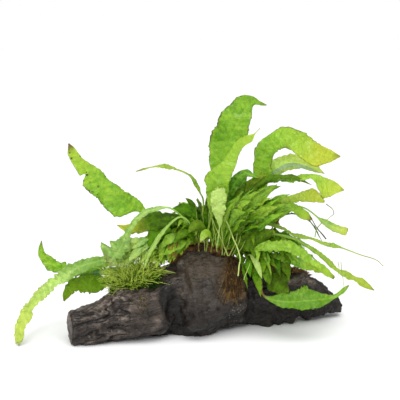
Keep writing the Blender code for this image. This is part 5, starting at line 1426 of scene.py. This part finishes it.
class Ground:
    """Finds places on the log and on the creeping stems."""

    def __init__(self, log: Object) -> None:
        """Keep search trees of the weathered log and of the plain solids under it."""
        self.skin = self.tree([log])
        self.wood = self.tree([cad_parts[name] for name in Driftwood.nodes])

    @staticmethod
    def tree(items: Iterable[Object]) -> BVHTree:
        """Return one search tree of some objects, in metres."""
        points: list[Vector] = []
        faces: list[list[int]] = []
        for item in items:
            faces += [[index + len(points) for index in face.vertices] for face in item.data.polygons]
            points += [vertex.co.copy() for vertex in item.data.vertices]
        return BVHTree.FromPolygons(points, faces)

    def height(self, x: float, y: float) -> float:
        """Return the plain log's height in millimetres at a place in plan, or 0 beside it."""
        hit = self.wood.ray_cast(Vector((x * MM, y * MM, 0.3)), Vector((0.0, 0.0, -1.0)))[0]
        return hit.z / MM if hit else 0.0

    def seen(self, start: Vec3, towards: Vec3) -> tuple[Array, Array] | None:
        """Return the place and normal where a ray in millimetres meets the weathered log."""
        hit, normal = self.skin.ray_cast(Vector(start) * MM, Vector(towards))[:2]
        if hit is None:
            return None
        return np.array(hit) / MM, np.array(normal)

    def nearest(self, point: Array) -> tuple[Array, Array]:
        """Return the closest place on the weathered log and its normal."""
        hit, normal = self.skin.find_nearest(Vector(point) * MM)[:2]
        return np.array(hit) / MM, np.array(normal)


@dataclass
class Rhizomes:
    """The creeping stems on the wood: their places in plan, thickness and hairs.

    probes are the places across a stem where it may touch the wood, as shares of its radius, and
    foot_spread how far from its middle a leaf may root.
    """

    ground: Ground
    radius: float = 2.6
    clearance: float = 0.9
    foot_spread: float = 0.65
    search_points: int = 60
    rings: int = 64
    sides: int = 18
    hairs: int = 420
    seed: int = 11
    probes: tuple[float, ...] = (-0.9, -0.5, 0.0, 0.5, 0.9)
    plans: dict[str, tuple] = field(default_factory=lambda: {
        "rhizome_crown": ((-24.0, -7.0), (-14.0, -3.5), (-3.0, 0.5), (9.0, 2.5), (19.0, 3.5), (27.0, 4.5)),
        "rhizome_back": ((-13.0, 13.0), (-3.0, 16.0), (8.0, 18.0), (16.0, 19.0), (23.0, 19.5)),
        "rhizome_right": ((37.0, 3.0), (45.0, 5.0), (54.0, 10.0), (61.0, 14.0), (66.0, 17.0)),
        "rhizome_left": ((-31.0, -8.0), (-39.0, -6.0), (-48.0, -6.0), (-56.0, -8.0)),
    })
    lines: dict[str, Array] = field(default_factory=dict)

    def lay(self) -> None:
        """Find the middle line of each stem on the wood."""
        for name, plan in self.plans.items():
            flat = curve_points(np.array([(x, y, 0.0) for x, y in plan]), 2 * len(plan) + 1)
            ahead = unit(np.gradient(flat, axis=0))
            line = flat.copy()
            for index, (point, way) in enumerate(zip(flat, ahead)):
                heights = []
                for share in self.probes:
                    x, y = point[0] - way[1] * self.radius * share, point[1] + way[0] * self.radius * share
                    heights.append(self.ground.height(x, y) + self.radius * math.sqrt(1.0 - share**2))
                line[index, 2] = max(heights) + self.clearance
            self.lines[name] = line

    def foot(self, root: Vec2) -> Array:
        """Return where a leaf's stem starts: inside the closest stem, or else on the wood."""
        best, away = np.zeros(3), 1e9
        for line in self.lines.values():
            fine = curve_points(line, self.search_points)
            gaps = np.hypot(fine[:, 0] - root[0], fine[:, 1] - root[1])
            if gaps.min() < away:
                away, best = float(gaps.min()), fine[int(gaps.argmin())]
        if away > 2.0 * self.radius:
            return np.array([*root, self.ground.height(*root) - 0.5])
        aside = np.array(root) - best[:2]
        aside = aside * min(1.0, self.foot_spread * self.radius / max(away, 1e-6))
        ridge = math.sqrt(max(self.radius**2 - float(aside @ aside), 0.0))
        return np.array([best[0] + aside[0], best[1] + aside[1], best[2] + 0.75 * ridge])

    def build(self, material: Material) -> None:
        """Build every stem: a knobbly tube that settles on the wood, with brown hairs."""
        rng = random.Random(self.seed)
        for number, (name, line) in enumerate(self.lines.items()):
            stem = Skin()
            fine = curve_points(line, self.rings)
            fine[:, 2] -= self.clearance * 0.9
            lumps = noise_at(fine, 4.0, 3.0 * number)
            ends = np.minimum(np.arange(self.rings), np.arange(self.rings)[::-1]) / 5.0
            radii = self.radius * (1.0 + 0.22 * lumps) * (0.35 + 0.65 * np.sqrt(np.clip(ends, 0.0, 1.0)))
            points, faces = tube(fine, radii, self.sides)
            points = points + 0.5 * noise_at(points, 1.9, 7.0)[:, None] * unit(points - fine.mean(axis=0))
            tint = np.zeros((len(points), 3))
            tint[:, 0] = 0.25 + 0.3 * noise_at(points, 3.0, 5.0)
            stem.add(points, faces, tint=tint)
            for _ in range(self.hairs):
                at = rng.randrange(2, self.rings - 2)
                out = np.array([rng.gauss(0.0, 1.0), rng.gauss(0.0, 1.0), rng.gauss(-0.1, 0.8)])
                out = out / np.linalg.norm(out)
                start = fine[at] + out * radii[at] * 0.8
                reach = rng.uniform(1.0, 4.2)
                bend = np.array([rng.uniform(-1, 1), rng.uniform(-1, 1), rng.uniform(-1.4, 0.4)])
                controls = [start, start + out * reach * 0.6, start + out * reach + bend * 0.8]
                thick = rng.uniform(0.15, 0.34)
                fibre(stem, controls, thick, 0.06, (rng.uniform(0.1, 0.5), rng.uniform(0.3, 1.1)), 4, 3)
            dress(stem.make(name, material), (name,))


@dataclass(frozen=True)
class RootFan:
    """Strands of root that run down the wood from a line to a line, as the photo's front shows them.

    top and bottom are the x and z of each line's ends. radius is a strand's before it varies, stand_off
    how far the strands lie off the wood and wander how far they stray sideways.
    """

    name: str
    finish: FibreFinish
    top: tuple[Vec2, Vec2]
    bottom: tuple[Vec2, Vec2]
    strands: int
    radius: float
    stand_off: float
    wander: float
    seed: int
    points: int = 9
    rings: int = 16
    sides: int = 5

    def build(self, ground: Ground, material: Material) -> None:
        """Lay the strands on the wood.

        Args:
            ground: finds the wood's skin.
            material: what they are dressed with.
        """
        rng = random.Random(self.seed)
        fan = Skin()
        (top_left, top_right), (low_left, low_right) = np.array(self.top), np.array(self.bottom)
        for number in range(self.strands):
            from_left = min(max(rng.gauss(0.5, 0.28), -0.3), 1.3)
            to_left = 0.5 * rng.gauss(0.5, 0.38) + 0.5 * from_left
            reach = rng.uniform(0.3, 0.85) if number % 3 else rng.uniform(0.8, 1.15)
            lift = rng.uniform(0.1, 1.0) * self.stand_off
            high = top_left + (top_right - top_left) * from_left
            low = low_left + (low_right - low_left) * to_left
            controls = []
            for step in range(self.points):
                down = step / (self.points - 1) * reach
                x, z = high + (low - high) * down
                x += self.wander * noise.noise(Vector((number * 3.1, step * 0.45, 1.0)))
                found = ground.seen((x, -90.0, z), (0.0, 1.0, 0.0))
                spot, normal = found or ground.nearest(np.array([x, -6.0, z]))
                bow = 0.35 + 0.65 * math.sin(math.pi * min(1.0, down + 0.15))
                controls.append(spot + normal * lift * bow)
            thick = self.radius * rng.uniform(0.5, 1.5)
            tone = rng.uniform(-0.3, 0.5) if number % 4 else rng.uniform(0.4, 0.95)
            fibre(fan, controls, thick, thick * 0.35, (tone * 0.8, tone), self.rings, self.sides)
        dress(fan.make(self.name, material), (self.name,))


ROOT_FANS = (
    RootFan("roots_front", ROOT_FINISH, ((25.0, 62.0), (30.0, 60.0)), ((13.0, 30.0), (34.0, 28.0)), 420,
            radius=0.15, stand_off=1.5, wander=3.4, seed=5),
    RootFan("roots_left", PALE_ROOT_FINISH, ((-50.0, 37.0), (-36.0, 38.0)), ((-44.0, 22.0), (-33.0, 24.0)),
            16, radius=0.13, stand_off=1.0, wander=4.0, seed=9),
)


@dataclass(frozen=True)
class Thread:
    """One thin stem: its path, its radius at the start and end and how light it is there."""

    path: tuple[Vec3, ...]
    radius: float
    end: float
    tone: Vec2 = (0.5, 0.9)


PALE_STEMS = (
    Thread(((16.5, -6, 97), (25.7, -17, 76.6), (30, -24, 65.2), (29.1, -29, 58.1), (28.4, -30, 52.2)), 0.5,
           0.55),
    Thread(((6.9, -6, 97.3), (9.9, -10, 89.6), (13.6, -13, 81.8), (21.3, -14, 63.2)), 0.2, 0.55,
           (0.7, 0.5)),
    Thread(((8.4, -8, 93.1), (11.4, -13, 79.4), (13, -11, 65.6)), 0.2, 0.5, (0.7, 0.4)),
    Thread(((-3.5, -1, 100), (-1.5, -7, 81.9), (-0.8, -7, 65)), 0.15, 0.6, (0.6, 0.1)),
    Thread(((1.3, -1, 101), (3, -9, 80.8), (3.8, -8, 65)), 0.15, 0.55, (0.6, 0.2)),
    Thread(((7.3, -4, 100), (6.1, -10, 80.3), (4.6, -9, 65)), 0.2, 0.55, (0.7, 0.3)),
    Thread(((9.9, -8, 86.8), (9.9, -12, 76.8), (8.4, -9, 64)), 0.2, 0.5, (0.6, 0.2)),
    Thread(((16, -9, 85.5), (17.5, -13, 75.5), (16.8, -10, 63)), 0.2, 0.5, (0.8, 0.4)),
    Thread(((24.5, -4, 90), (22, -12, 74), (18.3, -11, 63)), 0.2, 0.5, (0.7, 0.3)),
    Thread(((31, -2, 88), (26.6, -11, 72.1), (22.1, -11, 62.5)), 0.2, 0.5, (0.8, 0.4)),
    Thread(((34, 0, 88), (29.6, -11, 73.7), (24.4, -11, 62.5)), 0.2, 0.45, (0.7, 0.3)),
    Thread(((39, 0, 80), (32.7, -10, 70.6), (27.5, -10, 61)), 0.2, 0.45, (0.7, 0.3)),
    Thread(((89.1, 2, 74.1), (90.3, 1, 80.7), (93.7, -2, 87)), 0.4, 0.35, (0.4, 0.7)),
    Thread(((37.5, -24, 60.6), (34.5, -26, 53.3), (33, -27, 48.2)), 0.3, 0.25),
    Thread(((106.4, -20, 60.2), (107.4, -20, 52.4), (109.5, -19, 39.4)), 0.25, 0.15, (0.5, 0.7)),
    Thread(((104.2, -20, 60.2), (105.1, -20, 55.5), (104.5, -20, 49.2)), 0.25, 0.12, (0.5, 0.7)),
    Thread(((95.8, -6, 102), (100.5, -6, 98.1), (101.8, -6, 94.6), (99.9, -6, 92.6), (96.2, -6, 88.7)),
           0.35, 0.2, (0.2, 0.4)),
)
DRY_STEMS = (
    Thread(((-17, -10, 84), (-20, -18, 75), (-21, -21, 70), (-20.5, -21, 65)), 0.35, 0.6, (0.6, 0.8)),
    Thread(((-20, -10, 82), (-23, -18, 74), (-23.5, -20, 69), (-22.5, -21, 64)), 0.35, 0.6, (0.5, 0.9)),
    Thread(((-14, -10, 82), (-17, -19, 74), (-18, -21, 69), (-18.5, -21, 64)), 0.35, 0.55, (0.5, 0.7)),
    Thread(((44, 2, 94), (47, 2, 91.6), (50.9, 2, 87.6), (55.6, 2, 83.6)), 0.45, 0.6, (0.1, 0.1)),
    Thread(((84, -4, 91.5), (85.7, -4, 89), (88.9, -4, 83.5), (92.7, -5, 79), (96.6, -6, 74.5)), 0.3, 0.55,
           (0.15, 0.1)),
    Thread(((57.6, 6, 79), (59, 6, 82.7), (61.3, 6, 88.3), (64.2, 5, 95)), 0.9, 1.1, (0.6, 0.9)),
)
THREAD_POINTS, THREAD_RINGS, THREAD_SIDES = 14, 28, 7
THREAD_SHAKE, THREAD_SHAKE_SIZE = 0.45, 7.0


def build_threads(threads: Sequence[Thread], finish: FibreFinish, fibres: FibreDresser) -> None:
    """Build single thin stems, each a little crooked between its ends, as one piece.

    Args:
        threads: the stems.
        finish: their finish, which names the piece.
        fibres: makes their material.
    """
    bunch = Skin()
    for number, thread in enumerate(threads):
        line = curve_points(np.array(thread.path, float), THREAD_POINTS)
        inner = line[1:-1]
        shake = [noise_at(inner, THREAD_SHAKE_SIZE, number + 5.0 * axis) for axis in range(3)]
        inner += THREAD_SHAKE * np.stack(shake, axis=1)
        fibre(bunch, line, thread.radius, thread.end, thread.tone, THREAD_RINGS, THREAD_SIDES)
    dress(bunch.make(finish.name, fibres.material(finish)))


@dataclass
class MossTuft:
    """The cushion of moss on the left limb: its middle, reach and the number of its shoots."""

    centre: Vec3 = (-49.0, -19.0, 46.0)
    radii: Vec3 = (25.0, 13.0, 22.0)
    short_shoots: int = 1400
    long_shoots: int = 700
    seed: int = 23

    def start(self, ground: Ground, rng: random.Random) -> Array:
        """Return a place on the wood under the cushion where a shoot starts."""
        x = self.centre[0] + rng.uniform(-0.82, 0.82) * self.radii[0]
        y = self.centre[1] + rng.uniform(-0.5, 0.9) * self.radii[1]
        found = ground.seen((x, y, 120.0), (0.0, 0.0, -1.0))
        return np.array([x, y, self.centre[2] - 8.0]) if found is None else found[0]

    def edge(self, way: Array, start: Array) -> float:
        """Return how far it is from a start to the cushion's outside along a direction."""
        radii = np.array(self.radii)
        offset = (start - np.array(self.centre)) / radii
        step = way / radii
        a, b, c = float(step @ step), 2.0 * float(offset @ step), float(offset @ offset) - 1.0
        inside = b * b - 4.0 * a * c
        return (-b + math.sqrt(inside)) / (2.0 * a) if inside > 0.0 else 4.0

    def build(self, ground: Ground, material: Material) -> None:
        """Build the cushion's shoots, short ones below and long ones that reach out of it.

        Args:
            ground: finds the wood's skin.
            material: what they are dressed with.
        """
        rng = random.Random(self.seed)
        tuft = Skin()
        for number in range(self.short_shoots + self.long_shoots):
            long = number >= self.short_shoots
            start = self.start(ground, rng)
            if long:
                start[0] += 0.45 * (self.centre[0] - 6.0 - start[0])
            aside = (start[0] - self.centre[0]) / self.radii[0]
            x, y, z = 1.7 * aside + rng.gauss(0.0, 0.6), rng.gauss(-0.4, 0.45), abs(rng.gauss(0.8, 0.45))
            way = np.array([x, y, z])
            way = way / np.linalg.norm(way)
            reach = self.edge(way, start)
            reach = min(reach, 24.0) * (rng.uniform(0.65, 1.25) if long else rng.uniform(0.2, 0.5))
            reach = reach * 1.35 if number % 6 == 0 and long else reach
            if reach < 1.5:
                continue
            bend = np.array([rng.uniform(-1, 1), rng.uniform(-1, 0.6), rng.uniform(0.0, 1.6)]) * reach * 0.12
            controls = [start, start + way * reach * 0.5 + bend, start + way * reach]
            width = rng.uniform(0.3, 0.52) if long else rng.uniform(0.28, 0.42)
            shaded = 0.5 * smooth((aside - 0.1) / 0.6)
            foot = rng.uniform(-0.2, 0.4) if long else -0.3
            tip = rng.uniform(0.9, 1.5) if long else rng.uniform(-0.1, 0.5)
            tones = (foot - shaded, tip - shaded)
            fibre(tuft, controls, width, 0.14, tones, 6 if long else 5, 3, 0.3 if long else 0.6)
        dress(tuft.make("moss_tuft", material), ("moss_tuft",))


@dataclass
class DryMoss:
    """The dry brown moss on top of the right limb: short crooked crumbs and fibres."""

    low: Vec2 = (71.0, 20.5)
    high: Vec2 = (88.0, 32.5)
    crumbs: int = 900
    seed: int = 31

    def build(self, ground: Ground, material: Material) -> None:
        """Strew the patch with crumbs and fibres that lie on the wood."""
        rng = random.Random(self.seed)
        patch = Skin()
        for _ in range(self.crumbs):
            x, y = rng.uniform(self.low[0], self.high[0]), rng.uniform(self.low[1], self.high[1])
            edge = min((x - self.low[0]) / 4.0, (self.high[0] - x) / 4.0, 1.0)
            if rng.random() > 0.35 + 0.65 * edge:
                continue
            found = ground.seen((x, y, 90.0), (0.0, 0.0, -1.0))
            if found is None:
                continue
            spot, normal = found
            way = unit(np.array([rng.gauss(0, 1), rng.gauss(0, 1), 0.0]) + 0.9 * normal * rng.random())
            reach = rng.uniform(0.8, 3.4)
            bend = np.array([rng.gauss(0, 0.5), rng.gauss(0, 0.5), rng.uniform(0.0, 0.9)])
            end = spot + way * reach
            controls = [spot - normal * 0.2, spot + way * reach * 0.5 + bend * 0.7, end + normal * 0.3]
            thick = rng.uniform(0.2, 0.55)
            fibre(patch, controls, thick, 0.1, (rng.uniform(0.1, 0.6), rng.uniform(0.2, 1.0)), 4, 4)
        dress(patch.make("moss_patch_right", material), ("moss_patch_right",))


# Foliage


@dataclass(frozen=True)
class LeafFinish:
    """How leaves of one hue look: shaded, lit and see-through colours, the share let through, gloss."""

    hue: Hue
    shade: Colour
    light: Colour
    glow: Colour
    through: float = 0.42
    coat: float = 0.34
    specular: float = 0.32


LEAF_FINISHES = (
    LeafFinish(Hue.BRIGHT, (0.125, 0.35, 0.006), (0.47, 0.71, 0.06), (0.62, 0.90, 0.04)),
    LeafFinish(Hue.PALE, (0.27, 0.47, 0.08), (0.67, 0.90, 0.27), (0.72, 0.96, 0.2), 0.38),
    # the deep finish is darker green, partly the leaves' own colour and partly painted shade inside the bush
    LeafFinish(Hue.DEEP, (0.009, 0.080, 0.0005), (0.12, 0.33, 0.006), (0.24, 0.56, 0.004), 0.34, 0.03, 0.1),
    LeafFinish(Hue.OLIVE, (0.20, 0.38, 0.02), (0.52, 0.68, 0.09), (0.62, 0.80, 0.06)),
    LeafFinish(Hue.GREY, (0.17, 0.34, 0.09), (0.52, 0.68, 0.42), (0.5, 0.7, 0.3)),
)
YELLOWED: Colour = (0.72, 0.74, 0.07)
RUSTED: Colour = (0.20, 0.085, 0.018)
SPECKED: Colour = (0.045, 0.03, 0.01)


def blade_colours(recipe: Recipe, given: Sockets) -> dict[str, Socket]:
    """Fill the blade group: mottling, rib, side veins, yellowing, brown margins and dark specks."""
    place = given["Place"]
    aside, past, lighter = recipe.parts(given["Blade"])
    yellow, brown, specks = recipe.parts(given["Tint"])
    across = recipe.math("ABSOLUTE", aside)
    on_blade = recipe.remap(past, -1.0, 2.0)
    mottle = recipe.noise(place, 4.2, 4.0)
    broad = recipe.remap(recipe.noise(place, 24.0), 0.3, 0.7, -0.1, 0.35)
    # lighter is the leaf's stored tone, partly its own colour and partly painted light and shade
    tone = recipe.plus(recipe.plus(recipe.remap(mottle, 0.34, 0.66, 0.2, 0.72), broad), lighter)
    colour = recipe.mix(tone, given["Shade"], given["Light"])
    bend = recipe.times(recipe.noise(place, 4.5), 2.2)
    run = recipe.plus(recipe.minus(past, recipe.times(across, 0.55)), bend)
    phase = recipe.math("FRACT", recipe.math("DIVIDE", run, 4.1))
    vein = recipe.remap(recipe.math("ABSOLUTE", recipe.minus(phase, 0.5)), 0.13, 0.0)
    net = recipe.remap(recipe.cells(given["Blade"], 0.62, "DISTANCE_TO_EDGE"), 0.12, 0.0)
    lines = recipe.times(recipe.math("MAXIMUM", vein, recipe.times(net, 0.6)), on_blade)
    colour = recipe.mix(recipe.times(lines, 0.26), colour, given["Shade"])
    rib = recipe.times(recipe.remap(across, 0.95, 0.25), on_blade)
    colour = recipe.mix(recipe.times(rib, 0.35), colour, given["Light"])
    colour = recipe.mix(yellow, colour, YELLOWED)
    colour = recipe.mix(brown, colour, RUSTED)
    size = recipe.remap(recipe.noise(place, 9.0, 1.0), 0.4, 0.62, 0.04, 0.3)
    spot = recipe.math("LESS_THAN", recipe.cells(place, 0.27), size)
    speck = recipe.times(spot, recipe.remap(specks, 0.1, 0.8))
    colour = recipe.mix(recipe.times(speck, 0.85), colour, SPECKED)
    glow = recipe.mix(0.75, colour, given["Glow"], "OVERLAY")
    glow = recipe.mix(recipe.math("MAXIMUM", brown, speck), glow, colour)
    wrinkle = recipe.noise(place, 2.1, 2.0, 0.6)
    height = recipe.minus(recipe.plus(mottle, wrinkle), recipe.times(lines, 0.45))
    rough = recipe.remap(mottle, 0.3, 0.7, 0.28, 0.42)
    return {"Colour": colour, "Glow": glow, "Height": height, "Roughness": rough}


class LeafDresser:
    """Makes the leaf materials from their finishes."""

    def __init__(self) -> None:
        """Build the blade group once, and a material for each hue."""
        inputs = {"Place": VECTOR, "Blade": VECTOR, "Tint": VECTOR, "Shade": COLOUR, "Light": COLOUR,
                  "Glow": COLOUR}
        outputs = {"Colour": COLOUR, "Glow": COLOUR, "Height": VALUE, "Roughness": VALUE}
        self.group = shader_group("Leaf blade", inputs, outputs, blade_colours)
        self.materials = {finish.hue: self.material(finish) for finish in LEAF_FINISHES}

    def material(self, finish: LeafFinish) -> Material:
        """Return the material of one hue: a satin blade that lets light through."""
        material, recipe = new_material(finish.hue.value)
        inputs = {"Place": recipe.place(), "Blade": recipe.stored(BLADE), "Tint": recipe.stored(TINT),
                  "Shade": finish.shade, "Light": finish.light, "Glow": finish.glow}
        look = recipe.node("ShaderNodeGroup", inputs, node_tree=self.group)
        bump = recipe.bump(0.75, 0.001, look["Height"])
        shader = recipe.gloss(look["Colour"], look["Roughness"], finish.specular, {
            "Normal": bump, "Coat Weight": finish.coat, "Coat Roughness": 0.2})
        recipe.cover(recipe.lit_through(shader, finish.through, {"Color": look["Glow"], "Normal": bump}))
        return material


@dataclass
class Foliage:
    """All leaves: those with a solid of their own and the small ones inside the bush."""

    rhizomes: Rhizomes
    dresser: LeafDresser
    maker: LeafMesh = field(default_factory=LeafMesh)
    small_maker: LeafMesh = field(default_factory=lambda: LeafMesh(
        stem_radius=0.55, neck_radius=0.4, pace=1.4, columns=6, ruffle=1.5, pucker=1.1, crease=0.8))

    def leaf(self, leaf: Leaf, nodes: Sequence[str]) -> None:
        """Build the piece of one leaf, in place of its nodes."""
        skin = Skin()
        self.maker.skin(leaf, self.rhizomes.foot(leaf.root), skin)
        dress(skin.make(leaf.name, self.dresser.materials[leaf.hue]), nodes)

    def spray(self, spray: Spray) -> None:
        """Build the small leaves of one spray as one piece."""
        rng = random.Random(spray.seed)
        skin = Skin()
        start, stop = (np.array(end) for end in spray.roots)
        for number, (x, y, z, width) in enumerate(sorted(spray.tips)):
            share = (number + rng.uniform(0.1, 0.9)) / len(spray.tips)
            foot = self.rhizomes.foot(tuple(start + (stop - start) * share))
            way = np.array([x, y, z]) - foot
            bow = np.array([rng.gauss(0.0, 1.5), rng.gauss(0.0, 1.5), spray.rise * rng.uniform(0.7, 1.3)])
            path = (foot + 0.32 * way + 0.9 * bow, foot + 0.7 * way + bow, foot + way)
            face = np.array(spray.face) + np.array([rng.gauss(0.0, 0.35), 0.0, rng.gauss(0.0, 0.3)])
            leaf = Leaf(
                f"{spray.name}_{number}", tuple(foot[:2]), path, width * rng.uniform(0.9, 1.2), spray.hue,
                tuple(face), turn=rng.uniform(-40.0, 40.0), stem=spray.stem * rng.uniform(0.8, 1.2),
                widest=rng.uniform(0.28, 0.5), taper=rng.uniform(0.85, 1.35), ripple=rng.uniform(0.6, 1.4),
                waves=rng.uniform(2.0, 4.5),
                # each leaf darkens towards its foot by dim, partly painted shade inside the bush
                wear=Wear(yellow=0.25 * rng.random() ** 3, yellow_from=0.5,
                          ragged=rng.choice((0.0, 0.0, 1.0)), tone=spray.tone + rng.uniform(-0.1, 0.55),
                          torn=rng.uniform(1.0, 2.4), dim=0.35),
            )
            self.small_maker.skin(leaf, foot, skin)
        dress(skin.make(spray.name, self.dresser.materials[spray.hue]))

    def build(self) -> None:
        """Build one piece for each leaf of the tables and one for each spray."""
        for leaf in LEAVES:
            self.leaf(leaf, (leaf.name,))
        for leaf in EXTRA_LEAVES:
            self.leaf(leaf, ())
        for spray in SPRAYS:
            self.spray(spray)


# Studio


@dataclass
class Studio:
    """The white floor, the soft lights and the camera where the photo was taken from, in metres."""

    target: Vec3 = (0.0, 0.0, 0.1038)
    distance: float = 0.723
    elevation: float = math.radians(12.0)
    view_width: float = 0.3064
    sensor: float = 36.0
    sky: float = 0.62
    floor_size: float = 4.0
    floor_white: Colour = (0.93, 0.93, 0.93)
    sun_way: Vec3 = (0.08, -0.22, 1.0)
    sun_strength: float = 1.95
    sun_spread: float = math.radians(55.0)
    lamp_place: Vec3 = (-0.22, -0.8, 0.62)
    lamp_size: float = 0.3
    lamp_power: float = 3.2

    def floor(self) -> None:
        """Lay the floor."""
        mesh = bpy.data.meshes.new("floor")
        size = self.floor_size
        corners = [(-size, -size, 0.0), (size, -size, 0.0), (size, size, 0.0), (-size, size, 0.0)]
        mesh.from_pydata(corners, [], [(0, 1, 2, 3)])
        material, recipe = new_material("white_floor")
        recipe.cover(recipe.gloss(self.floor_white, 0.6, 0.2))
        mesh.materials.append(material)
        made = placed("floor", mesh)

    def lamp(self) -> None:
        """Hang the soft square light that looks at the plant from the front."""
        data = bpy.data.lights.new("front_light", "AREA")
        data.shape, data.size, data.energy = "SQUARE", self.lamp_size, self.lamp_power
        made = placed("front_light", data)
        made.location = self.lamp_place
        made.rotation_mode = "QUATERNION"
        made.rotation_quaternion = (Vector(self.target) - made.location).to_track_quat("-Z", "Y")

    def sun(self) -> None:
        """Add the wide soft light that falls evenly on the floor."""
        data = bpy.data.lights.new("wide_light", "SUN")
        data.energy, data.angle = self.sun_strength, self.sun_spread
        made = placed("wide_light", data)
        made.rotation_mode = "QUATERNION"
        made.rotation_quaternion = Vector(self.sun_way).to_track_quat("Z", "Y")

    def backdrop(self) -> None:
        """Fill the world with even white: full white to the camera, softer as light."""
        world = bpy.data.worlds.new("white_room")
        bpy.context.scene.world = world
        world.use_nodes = True
        world.node_tree.nodes.clear()
        recipe = Recipe(world.node_tree)
        seen = recipe.node("ShaderNodeLightPath")["Is Camera Ray"]
        strength = recipe.node("ShaderNodeMapRange", {"Value": seen, "To Min": self.sky, "To Max": 1.0})[0]
        light = recipe.node("ShaderNodeBackground", {"Color": (1.0, 1.0, 1.0), "Strength": strength})[0]
        recipe.node("ShaderNodeOutputWorld", {"Surface": light})

    def camera(self) -> None:
        """Set up the camera at the photo's height and distance."""
        data = bpy.data.cameras.new("camera")
        data.sensor_width = self.sensor
        data.lens = self.sensor / (self.view_width / self.distance)
        data.clip_start = 0.01
        made = placed("camera", data)
        way = Vector((0.0, -math.cos(self.elevation), math.sin(self.elevation)))
        made.location = Vector(self.target) + way * self.distance
        made.rotation_euler = (0.5 * math.pi - self.elevation, 0.0, 0.0)
        bpy.context.scene.camera = made

    def build(self) -> None:
        """Build the whole studio."""
        self.floor()
        self.backdrop()
        self.sun()
        self.lamp()
        self.camera()
        view = bpy.context.scene.view_settings
        view.view_transform, view.look = "Standard", "None"


def main() -> None:
    """Build the studio and every sub-assembly in order."""
    logging.basicConfig(level=logging.INFO, format="%(message)s")
    Studio().build()
    ground = Ground(Driftwood().build(WoodDresser(WoodFinish()).material()))
    fibres = FibreDresser()
    rhizomes = Rhizomes(ground)
    rhizomes.lay()
    rhizomes.build(fibres.material(RHIZOME_FINISH))
    Foliage(rhizomes, LeafDresser()).build()
    for fan in ROOT_FANS:
        fan.build(ground, fibres.material(fan.finish))
    build_threads(PALE_STEMS, PALE_STEM_FINISH, fibres)
    build_threads(DRY_STEMS, DRY_STEM_FINISH, fibres)
    MossTuft().build(ground, fibres.material(MOSS_FINISH))
    DryMoss().build(ground, fibres.material(DRY_MOSS_FINISH))


if __name__ == "__main__":
    main()
